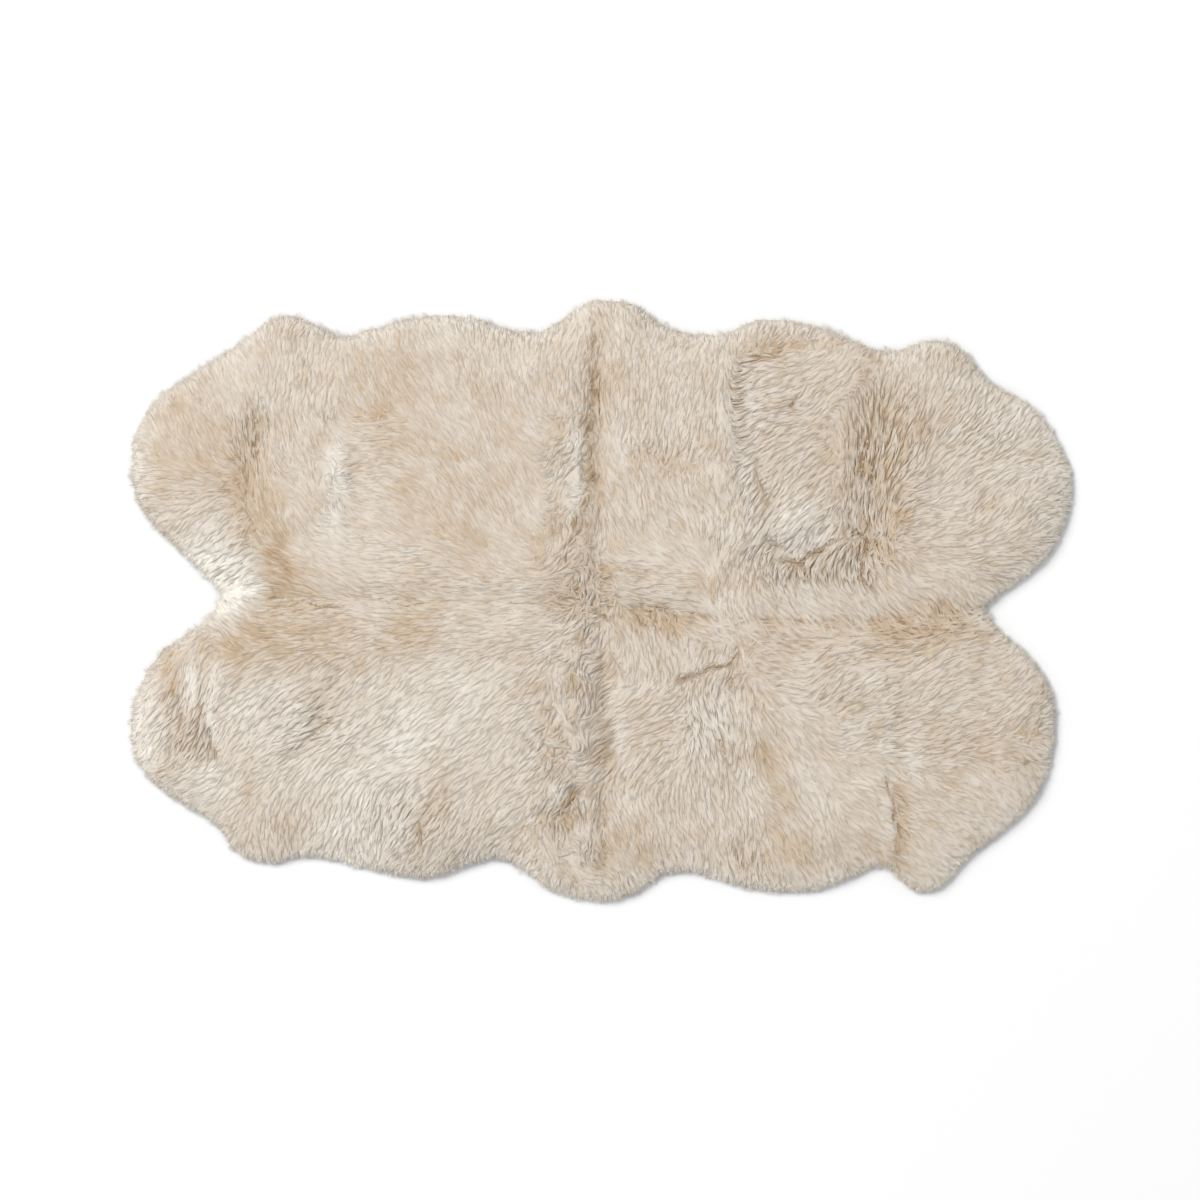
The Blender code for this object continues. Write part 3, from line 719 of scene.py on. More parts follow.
# %% [markdown]
# ## Wool material
#
# Wool is a protein fibre, dull and a little shiny along its scales. On the real rug the tips have bleached
# to cream and the roots keep the tan of the grease that was washed out, so one ramp runs from tan to cream,
# and each strand reads it further up towards its tip. The roots' tan is also painted shade, deeper where
# the locks stand apart, and the staples' sides, the creases and the rim carry painted shade and light as
# well.
# The strand's own tone moves all of it up or down.

# %% Wool colours
# (place on the ramp, colour)
WOOL_RAMP = (
    (0.00, "98795A"),
    (0.25, "BEA78B"),
    (0.50, "CFC3B4"),
    (0.75, "DDD5C9"),
    (1.00, "F5EFE4"),
)
WOOL_ROUGHNESS = 0.80
WOOL_SHEEN = 0.25


def wool_ramp(material, place):
    """The wool's colour for a place between root and tip."""
    ramp = add_node(material, "ShaderNodeValToRGB", Fac=place)
    stops = ramp.color_ramp.elements
    while len(stops) < len(WOOL_RAMP):
        stops.new(0.5)
    for stop, (position, colour) in zip(stops, WOOL_RAMP):
        stop.position = position
        stop.color = linear(colour)
    return ramp.outputs["Color"]


def strand_material():
    """Wool whose place on the ramp is the strand's own tone."""
    material, shader = new_material("sheep_wool_strands")
    tone = add_node(material, "ShaderNodeAttribute", {"attribute_name": "tone"})
    set_input(material, shader, "Base Color", wool_ramp(material, tone.outputs["Fac"]))
    shader.inputs["Roughness"].default_value = WOOL_ROUGHNESS
    shader.inputs["Sheen Weight"].default_value = WOOL_SHEEN
    return material


strand_wool = strand_material()

# %% Fleece material
FIBRE_SCALE = 260.0  # tufts of fibres to the metre, each about 4 mm
FIBRE_TONE = 0.1  # how far they go up or down the ramp


def fleece_material():
    """Wool without strands: fine tufts of fibres, in tone and in relief."""
    material, shader = new_material("sheep_wool_fleece")
    place = add_node(material, "ShaderNodeTexCoord")
    fibres = add_node(
        material, "ShaderNodeTexNoise", Vector=place.outputs["Object"], Scale=FIBRE_SCALE, Detail=3.0
    )
    bump = add_node(
        material, "ShaderNodeBump", Height=fibres.outputs["Fac"], Strength=0.6, Distance=2 * MM
    )
    fibre_tone = add_node(
        material, "ShaderNodeMapRange",
        To_Min=-FIBRE_TONE, To_Max=FIBRE_TONE, Value=fibres.outputs["Fac"],
    )
    tone = add_node(material, "ShaderNodeAttribute", {"attribute_name": "tone"})
    place_on_ramp = add_node(
        material, "ShaderNodeMath", {"operation": "ADD", "use_clamp": True},
        _0=fibre_tone.outputs["Result"], _1=tone.outputs["Fac"],
    )
    set_input(material, shader, "Base Color", wool_ramp(material, place_on_ramp.outputs["Value"]))
    set_input(material, shader, "Normal", bump.outputs["Normal"])
    shader.inputs["Roughness"].default_value = WOOL_ROUGHNESS
    return material


fleece_wool = fleece_material()

# %% [markdown]
# ## Fleece
#
# Under the strands the wool is a dense felt-like mass. Each CAD pelt is copied, welded and subdivided. The
# solids have coarse locks at the rim, where the strands will make fine ones, so the fleece's rim moves to
# one even outline. Its top comes down a little, to leave room for the strands, and more where the locks
# stand apart. It is lit by the slopes of the wool's surface, as the strands are, so that both look alike.

# %% Copies of the pelts
HIDE_THICKNESS = 1.8 * MM
PIECE_GAP = 0.3 * MM  # between the hide and the fleece on it
WELD = 0.01 * MM


def copy_of_node(node, name):
    """A copy of a CAD node with its loose triangles welded, left active and selected."""
    deselect_all()
    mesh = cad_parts[node].data.copy()
    mesh.name = name
    copy = bpy.data.objects.new(name, mesh)
    bpy.context.scene.collection.objects.link(copy)
    bpy.context.view_layer.objects.active = copy
    copy.select_set(True)
    bpy.ops.object.mode_set(mode="EDIT")
    bpy.ops.mesh.select_all(action="SELECT")
    bpy.ops.mesh.remove_doubles(threshold=WELD)
    bpy.ops.object.mode_set(mode="OBJECT")
    return copy


# %% The fleece's rim
BOTTOM = 0.5 * MM  # a corner lower than this is in the pelt's level bottom
EDGE_REACH = 2.5 * MM  # how near to a corner of the bottom a corner over it is, seen from above
RIM_EDGE = 0.36  # the cover map's value where the fleece ends
RIM_SLACK = 0.06  # and how much less it may be
SEAM_COVER = 0.97  # from this value on, an edge is at a seam
RIM_STEPS = 16  # steps of a millimetre that a corner may move
LEAST_AREA = 0.3 * MM * MM  # a face that is smaller than this, seen from above, is upright
UNFOLD_TRIES = 12
UNFOLD_SHARE = 0.7  # what is left of a corner's way after each try


def find_edge(x, y, z):
    """1 for the corners that stand over a corner of the pelt's level bottom, else 0."""
    bottom = np.nonzero(z < BOTTOM)[0]
    outline = KDTree(len(bottom))
    for number, corner in enumerate(bottom):
        outline.insert((x[corner], y[corner], 0), number)
    outline.balance()
    return np.array([outline.find((x[i], y[i], 0))[2] < EDGE_REACH for i in range(len(x))], float)


def unfolded_share(mesh, x, y, far_x, far_y):
    """How far each corner can go towards its far place without turning a face over."""
    mesh.calc_loop_triangles()
    triangles = np.empty(len(mesh.loop_triangles) * 3, np.int32)
    mesh.loop_triangles.foreach_get("vertices", triangles)
    triangles = triangles.reshape(-1, 3)

    def areas(at_x, at_y):
        a_x, b_x, c_x = at_x[triangles].T
        a_y, b_y, c_y = at_y[triangles].T
        return ((b_x - a_x) * (c_y - a_y) - (c_x - a_x) * (b_y - a_y)) / 2

    level = np.abs(areas(x, y)) > LEAST_AREA
    turn = np.sign(areas(x, y))
    share_of_way = np.ones(len(x))
    for tries in range(1, UNFOLD_TRIES + 1):
        now = areas(x + (far_x - x) * share_of_way, y + (far_y - y) * share_of_way)
        folded = triangles[level & (now * turn < 0)]
        if not len(folded):
            break
        share_of_way[np.unique(folded)] *= UNFOLD_SHARE
    print(mesh.name, "has", len(folded), "folded faces at try", tries)
    return share_of_way


def even_rim(mesh, at_edge, x, y):
    """The corners' places with those at the rim moved out, or back in, to the even outline."""
    far_x, far_y = x, y
    for _step in range(RIM_STEPS):
        here = read_map(cover, far_x, far_y)
        outwards = (here > RIM_EDGE) & (here < SEAM_COVER)
        inwards = here < RIM_EDGE - RIM_SLACK
        way = at_edge * (outwards.astype(float) - inwards) * MM
        way_x, way_y = read_map(rim_x, far_x, far_y) * way, read_map(rim_y, far_x, far_y) * way
        far_x, far_y = far_x + way_x, far_y + way_y
    share_of_way = unfolded_share(mesh, x, y, far_x, far_y)
    return x + (far_x - x) * share_of_way, y + (far_y - y) * share_of_way


# %% Height, tone and light of the fleece
RIM_FALL_COVER = 0.5  # the cover map's value from which the wool falls towards the floor
RIM_FALL = 0.7  # and the largest share of its height that it falls
FLEECE_DEPTH = 0.4 * MM  # how far the fleece lies below the strands' middles
RIM_FLEECE_DEPTH = 1 * MM  # and how much deeper at the rim
RIM_FLEECE_FALL = 0.3  # which is where the cover has fallen by this much
PARTED_FLEECE_DEPTH = 3 * MM  # and how much deeper where the locks stand apart
FLEECE_TONE = 0.54  # its place on the wool's ramp
FOOT_SHADE = 0.1  # painted shade: how much further down the ramp, and darker, its foot is under the rim
PARTED_ROOT_TAN_AND_SHADE = 0.34  # and the roots where the locks stand apart: their own tan, and painted shade in the partings
FOOT_COVER = 0.9  # at the rim, the cover is less than this
FOOT_LIFT = 2.5  # how much more the rim's foot faces up than out


def ground_at(x, y):
    """The height of the wool's surface, which falls away past the rim."""
    past_rim = 1 - read_map(cover, x, y) / RIM_FALL_COVER
    return read_map(surface, x, y) * (1 - past_rim.clip(0, RIM_FALL))


def fleece_top(x, y):
    """The height of the fleece's top."""
    top = ground_at(x, y) - FLEECE_DEPTH - RIM_FLEECE_DEPTH * rim_share(x, y, INSIDE, RIM_FLEECE_FALL)
    return top - PARTED_FLEECE_DEPTH * read_map(open_map, x, y)


def fleece_tone(x, y, low):
    """The fleece's place on the wool's ramp, corner by corner, with painted shade at its foot and in
    partings.
    """
    tone = FLEECE_TONE + read_map(tone_map, x, y) + read_map(fine_tone_map, x, y)
    tone -= PARTED_ROOT_TAN_AND_SHADE * read_map(open_map, x, y) + FOOT_SHADE * low
    return tone


def fleece_normals(x, y, low, at_edge):
    """Up as the wool's surface is, down at the bottom, and up and out at the rim's foot."""
    normals = np.stack([read_map(slope, x, y) for slope in ground_normal], 1)
    normals[low] = (0, 0, -1)
    foot = low & (at_edge > 0) & (read_map(cover, x, y) < FOOT_COVER)
    up_and_out = [read_map(rim_x, x, y), read_map(rim_y, x, y), np.full(len(x), FOOT_LIFT)]
    up_and_out = np.stack(up_and_out, 1)[foot]
    normals[foot] = up_and_out / np.linalg.norm(up_and_out, axis=1, keepdims=True)
    return normals


# %% Fleece pieces
FLEECE_BASE = HIDE_THICKNESS + PIECE_GAP
LEAST_FLEECE = 1 * MM  # how thick the fleece is at least


def make_fleece(pelt):
    """The dense wool of a pelt: its solid, with an even rim and a lowered top."""
    fleece = copy_of_node("pelt_" + pelt, "fleece_" + pelt)
    bpy.ops.object.mode_set(mode="EDIT")
    bpy.ops.mesh.select_all(action="SELECT")
    bpy.ops.mesh.subdivide(number_cuts=1)
    bpy.ops.object.mode_set(mode="OBJECT")
    places = np.empty(len(fleece.data.vertices) * 3)
    fleece.data.vertices.foreach_get("co", places)
    x, y, z = places.reshape(-1, 3).T
    low = z < BOTTOM
    at_edge = find_edge(x, y, z)
    x, y = even_rim(fleece.data, at_edge, x, y)
    z = np.where(low, FLEECE_BASE, np.maximum(fleece_top(x, y), FLEECE_BASE + LEAST_FLEECE))
    fleece.data.vertices.foreach_set("co", np.stack([x, y, z], 1).ravel())
    tone = fleece.data.attributes.new("tone", "FLOAT", "POINT")
    tone.data.foreach_set("value", fleece_tone(x, y, low).astype(np.float32))
    fleece.data.update()
    bpy.ops.object.shade_smooth()
    fleece.data.normals_split_custom_set_from_vertices(fleece_normals(x, y, low, at_edge))
    fleece.data.materials.clear()
    fleece.data.materials.append(fleece_wool)
    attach(fleece, "root")
    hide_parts("pelt_" + pelt)
    return fleece


fleeces = {pelt: make_fleece(pelt) for pelt in PELTS}
for fleece in fleeces.values():
    print(fleece.name, "has", len(fleece.data.polygons), "faces")

# %% [markdown]
# ## Hide
#
# Below the wool is the skin itself, tanned to suede. It ends at the cut edge, and the wool reaches past it.
# The CAD pelt is cut by a level plane just below the height of its cut edge: the cut face has the hide's
# outline. Moved to the floor and extruded, it is the hide.

# %% Suede material
SUEDE_SCALE = 90.0  # patches of nap to the metre, each about 11 mm


def suede_material():
    """Pale tan suede, a little uneven in its nap."""
    material, shader = new_material("tanned_suede_hide")
    place = add_node(material, "ShaderNodeTexCoord")
    nap = add_node(
        material, "ShaderNodeTexNoise", Vector=place.outputs["Object"], Scale=SUEDE_SCALE, Detail=6.0
    )
    ramp = add_node(material, "ShaderNodeValToRGB", Fac=nap.outputs["Fac"])
    ramp.color_ramp.elements[0].color = linear("C9B79B")
    ramp.color_ramp.elements[1].color = linear("E2D5BF")
    bump = add_node(
        material, "ShaderNodeBump", Height=nap.outputs["Fac"], Strength=0.3, Distance=0.5 * MM
    )
    set_input(material, shader, "Base Color", ramp.outputs["Color"])
    set_input(material, shader, "Normal", bump.outputs["Normal"])
    shader.inputs["Roughness"].default_value = 0.95
    return material


suede = suede_material()

# %% Hide pieces
CUT_LEVEL = 26 * MM


def make_hide(pelt):
    """The skin of a pelt: a level slice of its solid, on the floor."""
    hide = copy_of_node("pelt_" + pelt, "hide_" + pelt)
    bpy.ops.object.mode_set(mode="EDIT")
    bpy.ops.mesh.select_all(action="SELECT")
    bpy.ops.mesh.bisect(
        plane_co=(0, 0, CUT_LEVEL), plane_no=(0, 0, 1), use_fill=True, clear_inner=True, clear_outer=True
    )
    bpy.ops.mesh.select_all(action="SELECT")
    bpy.ops.transform.translate(value=(0, 0, -CUT_LEVEL))
    bpy.ops.mesh.extrude_region_move(TRANSFORM_OT_translate={"value": (0, 0, HIDE_THICKNESS)})
    bpy.ops.mesh.select_all(action="SELECT")
    bpy.ops.mesh.normals_make_consistent(inside=False)
    bpy.ops.object.mode_set(mode="OBJECT")
    hide.data.materials.clear()
    hide.data.materials.append(suede)
    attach(hide, "root")
    return hide


hides = {pelt: make_hide(pelt) for pelt in PELTS}

# %% [markdown]
# ## Staples
#
# Wool grows in staples: bundles of fibres that share a root patch and draw together to a pointed tip. So
# the strands are built in two steps, and this is the first. Staples are strewn over the pelt about a
# centimetre apart, and each follows the lie of the wool in short steps. They are cut short past the rim
# and over a crease. All of them are arrays, because there are too many to model one by one.

# %% Roots and lie
STAPLE_PITCH = 9.9 * MM
JITTER = 0.4  # how far a root may be from its place on the grid, as a share of the pitch
OWN_SHARE = 0.5  # a root is on the pelt that has at least this share of the cover there
ROOT_COVER = 0.55  # and no nearer to the rim than this
OUTWARDS_FALL = 0.38  # the wool lies outwards where the cover has fallen by this much
MOST_OUTWARDS = 0.85


def strew_staples(pelt):
    """Root places of staples, on an uneven triangular grid over one pelt."""
    low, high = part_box("pelt_" + pelt)
    step_y = STAPLE_PITCH * math.sin(math.pi / 3)
    xs = np.arange(low.x, high.x, STAPLE_PITCH)
    ys = np.arange(low.y, high.y, step_y)
    x, y = np.meshgrid(xs, ys)
    x = x + (np.arange(len(ys)) % 2)[:, None] * STAPLE_PITCH / 2
    x = (x + chance.uniform(-JITTER, JITTER, x.shape) * STAPLE_PITCH).ravel()
    y = (y + chance.uniform(-JITTER, JITTER, y.shape) * STAPLE_PITCH).ravel()
    own, rest = read_map(share[pelt], x, y), read_map(cover, x, y)
    on_pelt = (own > OWN_SHARE * rest) & (rest > ROOT_COVER)
    return x[on_pelt], y[on_pelt]


def lie_at(pelt, x, y):
    """The wool's direction at places: as combed, swayed a little, and outwards at the rim."""
    along_x, along_y = comb[pelt]
    heading = np.arctan2(read_map(along_y, x, y), read_map(along_x, x, y)) + read_map(sway_map, x, y)
    outwards = rim_share(x, y, INSIDE, OUTWARDS_FALL).clip(0, MOST_OUTWARDS)
    along_x = np.cos(heading) * (1 - outwards) + read_map(rim_x, x, y) * outwards
    along_y = np.sin(heading) * (1 - outwards) + read_map(rim_y, x, y) * outwards
    length = np.hypot(along_x, along_y) + TINY
    return along_x / length, along_y / length


# %% Staple paths
STAPLE_LENGTH = 52 * MM
STAPLE_LENGTH_SPREAD = 0.14
SHORTEST, LONGEST = 0.6, 1.4  # of that length
STEPS = 6  # along a staple's path
TURN_SPREAD = 0.14  # radians that a staple is off the lie of the wool
BEND_SPREAD = 0.2  # radians that it bends from root to tip
CURLED_TURN_SPREAD = 0.3  # and what curly wool adds to both
CURLED_BEND_SPREAD = 1.4


def staple_paths(pelt, x, y, share_of_length=1.0):
    """Each staple's path from root to tip, as places at STEPS + 1 even shares of its length."""
    count = len(x)
    own_length = chance.normal(1, STAPLE_LENGTH_SPREAD, count).clip(SHORTEST, LONGEST)
    stride = STAPLE_LENGTH * share_of_length * own_length / STEPS
    curl = read_map(curl_map, x, y)
    own_turn = chance.normal(0, TURN_SPREAD, count) + chance.normal(0, CURLED_TURN_SPREAD, count) * curl
    own_bend = chance.normal(0, BEND_SPREAD, count) + chance.normal(0, CURLED_BEND_SPREAD, count) * curl
    path = np.zeros((count, STEPS + 1, 2))
    path[:, 0, 0], path[:, 0, 1] = x, y
    for step in range(STEPS):
        along_x, along_y = lie_at(pelt, path[:, step, 0], path[:, step, 1])
        turn = own_turn + own_bend * (step / STEPS - 0.5)
        cos, sin = np.cos(turn), np.sin(turn)
        path[:, step + 1, 0] = path[:, step, 0] + (along_x * cos - along_y * sin) * stride
        path[:, step + 1, 1] = path[:, step, 1] + (along_x * sin + along_y * cos) * stride
    return path


# %% Trimming
RIM_REACH = 0.18  # the cover map's value where the wool ends
RIM_REACH_SPREAD = 0.08
LEAST_REACH, MOST_REACH = 0.02, 0.45
CREASE_EDGE = 0.46  # the crease map's value where a staple ends
UNTRIMMED = 0.25  # the share of a staple that a crease doesn't cut off
LOOKS = 6  # how often each step of a path is looked at for a crease


def along_path(path, shares):
    """Places on each path at its own shares of the way."""
    at = np.clip(shares * STEPS, 0, STEPS - 1e-6)
    before = at.astype(int)
    part = (at - before)[:, :, None]
    row = np.arange(len(path))[:, None]
    return path[row, before] * (1 - part) + path[row, before + 1] * part


def trim_at_rim(path):
    """Shortens each staple that would reach past the rim, keeping its root and its shape."""
    limit = chance.normal(RIM_REACH, RIM_REACH_SPREAD, len(path)).clip(LEAST_REACH, MOST_REACH)
    inside = read_map(cover, path[:, :, 0], path[:, :, 1]) > limit[:, None]
    keep = np.where(inside.all(1), STEPS, np.argmin(inside, 1).clip(1) - 0.5) / STEPS
    return along_path(path, np.linspace(0, 1, STEPS + 1)[None, :] * keep[:, None])


def trim_at_creases(path):
    """Ends each staple where it would lie over a crease."""
    shares = np.linspace(0, 1, LOOKS * STEPS + 1)
    places = along_path(path, np.repeat(shares[None, :], len(path), 0))
    crossing = read_map(crease_map, places[:, :, 0], places[:, :, 1]) > CREASE_EDGE
    crossing[:, shares < UNTRIMMED] = False
    keep = np.where(crossing.any(1), shares[np.argmax(crossing, 1)], 1)
    return along_path(path, np.linspace(0, 1, STEPS + 1)[None, :] * keep[:, None])


# %% [markdown]
# The lying staples leave bare places where the wool parts in two directions. There, others grow beside the
# place and lie straight over it. Short ones fringe the rim, and short thin dark ones lie along each crease,
# as painted shade in its bottom.

# %% Covering and crease staples
COVERING_SHARE = 0.8  # the length of a staple that covers a bare place, as a share of the usual
COVERING_TURN = 0.35  # how unevenly it lies, in radians
COVERING_START = (-0.9, -0.2)  # where it starts, in lengths from the middle of the place
CREASE_SHARE = 0.5  # the length of a staple in a crease
CREASE_TURN = 0.12
WOOL_BLUR = 7 * MM


def covering_paths(pelt, x, y):
    """Staples that grow beside a bare place and lie straight over it."""
    count = len(x)
    axis_x, axis_y = (read_map(values, x, y) for values in comb_axis[pelt])
    heading = np.arctan2(axis_y, axis_x) / 2 + math.pi * chance.integers(0, 2, count)
    heading += chance.normal(0, COVERING_TURN, count)
    direction = np.stack([np.cos(heading), np.sin(heading)], 1)
    length = STAPLE_LENGTH * COVERING_SHARE * chance.normal(1, STAPLE_LENGTH_SPREAD, count)
    start = chance.uniform(*COVERING_START, count)
    reach = length[:, None] * (start[:, None] + np.linspace(0, 1, STEPS + 1))
    return np.stack([x, y], 1)[:, None] + direction[:, None] * reach[:, :, None]


def crease_shade_paths(x, y):
    """Short straight staples that lie along the bottom of a crease, where their dark tone is painted shade.
    """
    heading = read_map(crease_heading, x, y) + chance.normal(0, CREASE_TURN, len(x))
    direction = np.stack([np.cos(heading), np.sin(heading)], 1)
    reach = CREASE_SHARE * STAPLE_LENGTH * np.linspace(-0.5, 0.5, STEPS + 1)
    return np.stack([x, y], 1)[:, None] + direction[:, None] * reach[None, :, None]


def wool_over(paths):
    """How much wool lies over each grid point, with 1 as the usual amount."""
    lying = paths[:, 2:].reshape(-1, 2)
    column = ((lying[:, 0] - map_low[0]) / GRID).astype(int).clip(0, columns - 1)
    row = ((lying[:, 1] - map_low[1]) / GRID).astype(int).clip(0, rows - 1)
    counts = np.zeros((rows, columns))
    np.add.at(counts, (row, column), 1)
    counts = soften(counts, WOOL_BLUR)
    return counts / np.median(counts[cover > INSIDE])


# %% All the staples
BARE = 0.50  # a place with less than this share of the usual wool over it is bare
BARE_COVER = 0.9  # nearer to the rim than this, no place counts as bare
FRINGE_COVER = 0.93  # and from here on the rim has its fringe
RIM_SHARE = 0.45  # the length of the fringe's short staples
COVERING_ROUNDS = 2  # how often staples are strewn for each kind
RIM_ROUNDS = 2
CREASE_ROUNDS = 8


def strew_where(pelt, rounds, wanted, make_paths):
    """Staples from several rounds of strewing, at the places where they are wanted."""
    paths = []
    for _round in range(rounds):
        x, y = strew_staples(pelt)
        here = wanted(x, y)
        paths.append(make_paths(x[here], y[here]))
    return np.concatenate(paths)


def is_bare(x, y):
    """Whether little wool lies over a place."""
    return (read_map(lying_wool, x, y) < BARE) & (read_map(cover, x, y) > BARE_COVER)


def is_at_rim(x, y):
    """Whether a place is near the rim."""
    return read_map(cover, x, y) < FRINGE_COVER


def is_in_crease(x, y):
    """Whether a place is in a crease."""
    return read_map(crease_map, x, y) > CREASE_EDGE


staples = {pelt: {} for pelt in PELTS}
for pelt in PELTS:
    staples[pelt]["lying"] = trim_at_creases(trim_at_rim(staple_paths(pelt, *strew_staples(pelt))))
lying_wool = wool_over(np.concatenate([staples[pelt]["lying"] for pelt in PELTS]))
for pelt in PELTS:
    covering = strew_where(pelt, COVERING_ROUNDS, is_bare, lambda x, y: covering_paths(pelt, x, y))
    staples[pelt]["covering"] = trim_at_creases(trim_at_rim(covering))
    fringe = strew_where(pelt, RIM_ROUNDS, is_at_rim, lambda x, y: staple_paths(pelt, x, y, RIM_SHARE))
    staples[pelt]["rim"] = trim_at_rim(fringe)
    staples[pelt]["crease"] = trim_at_rim(strew_where(pelt, CREASE_ROUNDS, is_in_crease, crease_shade_paths))
    print(pelt, "has", {kind: len(paths) for kind, paths in staples[pelt].items()}, "staples")

# %% [markdown]
# ## Strands
#
# Each staple carries a few strands, which start around its root and close in on its path towards the tip. A
# strand has three places: its root, below the surface and hidden, its widest place, and its tip. It is a
# three-sided spindle, which from above looks like a lock that tapers to both ends.

# %% Strand values
STRANDS_PER_STAPLE = {"lying": 5, "covering": 5, "rim": 8, "crease": 1}
KIND_TONE = {"lying": 0, "covering": -0.07, "rim": 0, "crease": 0}
KIND_DROP = {"lying": 0, "covering": 0.5, "rim": 8, "crease": 0}  # mm that a tip may be lower than usual
KIND_WIDTH = {"lying": 1, "covering": 1, "rim": 1, "crease": 0.75}
KIND_SHORTEST = {"lying": 0.8, "covering": 0.8, "rim": 0.5, "crease": 0.8}  # of its staple's length
CREASE_SHADE = {"lying": 0.06, "covering": 0.06, "rim": 0, "crease": 0.6}  # painted shade: how much darker and more tan a strand is in a crease
# A strand's places: (share of its length, mm over the wool's surface, share of the tip's tone)
PLACES = (
    (0.00, -3.5, 0.00),
    (0.58, 1.0, 0.75),
    (1.00, 0.9, 1.00),
)
BULGE = (0.0, 0.8, 0.4)  # mm that the staple's middle is above its sides, at those places
WIDEST = 1  # the number of the widest place
SIDES = 3
PLACE_OF_CORNER = [0] + [WIDEST] * SIDES + [2]
way_shares, place_lifts, tip_tone_shares = np.array(PLACES).T

# %% Strands from above
STAPLE_WIDTH = 6.0 * MM
STRAND_WIDTH = 2.2 * MM
WIDTH_SHARES = (0.65, 1.25)  # a strand's own width is this much of it
RIM_NARROWING = 0.4  # how much narrower a strand is at the rim
ACROSS_SPREAD = 0.16  # how unevenly strands are spaced across their staple
LATEST_START = 0.20  # the share of its staple's path at which the last strand starts
CLOSING = 0.50  # how far the strands close in on the staple's path at the tip
PARTED_CLOSING = 0.35  # and how much more where the locks stand apart
CLOSING_POWER = 1.5  # more than 1 keeps them apart until near the tip
RIM_START, RIM_WIDTH = 0.95, 0.5  # where the rim starts, and how far the cover falls across it
TIP_SHIFT = 0.8 * MM  # how far a strand's tip strays
PLACE_SHIFT = 0.4 * MM  # and each of its places


def strands_from_above(path, kind, owner, across, openness):
    """How far along its staple each place is, where it is seen from above, and how near the rim."""
    count = len(owner)
    start = chance.uniform(0, LATEST_START, count)[:, None]
    end = chance.uniform(KIND_SHORTEST[kind], 1.0, count)[:, None]
    way = start + (end - start) * way_shares
    middle = along_path(path[owner], way)
    side_x, side_y = -np.gradient(middle[:, :, 1], axis=1), np.gradient(middle[:, :, 0], axis=1)
    side_length = np.hypot(side_x, side_y) + TINY
    side = np.stack([side_x / side_length, side_y / side_length], 2)
    at_rim = rim_share(middle[:, WIDEST, 0], middle[:, WIDEST, 1], RIM_START, RIM_WIDTH)
    closing = 1 - (CLOSING + PARTED_CLOSING * openness) * way**CLOSING_POWER * (1 - at_rim[:, None])
    places = middle + side * (across[:, None] * closing)[:, :, None] * STAPLE_WIDTH / 2
    places += chance.normal(0, TIP_SHIFT, (count, 1, 2)) * way[:, :, None]
    places += chance.normal(0, PLACE_SHIFT, (count, len(PLACES), 2))
    return way, places, at_rim


# %% Strand heights
FULL_PILE = 40 * MM  # wool lower than this lies closer
LEAST_PILE = 0.15
STRAND_RISE = 0.3  # mm that a strand's tip is above or below the usual
STAPLE_RISE = 0.6  # and a whole staple's tip
SMOOTH_DEPTH = 0.19  # the share of those heights where the wool is smooth
PARTED_DEPTH = 0.8  # and what is added to it where the locks stand apart
CURLED_DEPTH = 0.6  # and where the wool is curly
CREASE_DEPTH = 1.2 * MM
DROOP = 0.8  # a strand's steepest way down
LOWEST = 1.2 * MM  # a strand's middle is at least this far off the floor


def strand_heights(path, kind, owner, across, openness, way, places):
    """How high each place is, so that the strand lies on the wool below it."""
    ground = ground_at(places[:, :, 0], places[:, :, 1])
    pile = np.clip(ground / FULL_PILE, LEAST_PILE, 1.0)
    bulge = np.array(BULGE) * (1 - across[:, None] ** 2).clip(0, 1)
    rise = chance.normal(0, STRAND_RISE, len(owner)) + chance.normal(0, STAPLE_RISE, len(path))[owner]
    root_x, root_y = path[owner, 0].T
    rise += read_map(rise_map, root_x, root_y)
    depth = SMOOTH_DEPTH + PARTED_DEPTH * openness
    depth = depth + CURLED_DEPTH * read_map(curl_map, root_x, root_y)[:, None]
    height = ground + (place_lifts + bulge + rise[:, None] * way) * MM * pile * depth
    height -= CREASE_DEPTH * read_map(crease_map, places[:, :, 0], places[:, :, 1]) * pile
    height -= chance.uniform(0, KIND_DROP[kind], len(owner))[:, None] * way * MM
    for number in range(1, len(PLACES)):
        run = np.hypot(*(places[:, number] - places[:, number - 1]).T)
        height[:, number] = np.maximum(height[:, number], height[:, number - 1] - DROOP * run)
    return np.maximum(height, LOWEST)


# %% Strand tones
TIP_TONE = 0.565  # the tip's place on the wool's ramp
RIM_TIP_PAINTED_LIGHT = 0.22  # painted light: how much lighter the tips are at the rim, as light shines through them
ROOT_TAN_AND_SHADE = 0.12  # how much further down the ramp the root is: the wool's own tan roots, and painted shade between the strands
SIDE_SHADE = 0.07  # painted shade: how much darker and more tan the sides of a staple are, where the gaps between locks are shaded
STAPLE_TONE_SPREAD = 0.034
STRAND_TONE_SPREAD = 0.03
PATCH_SHARES = (0.6, 1.4)  # how much of a patch's tone a staple takes up
CREASE_SHADE_SHARES = (0.3, 1.0)  # and of a crease's painted shade on a strand


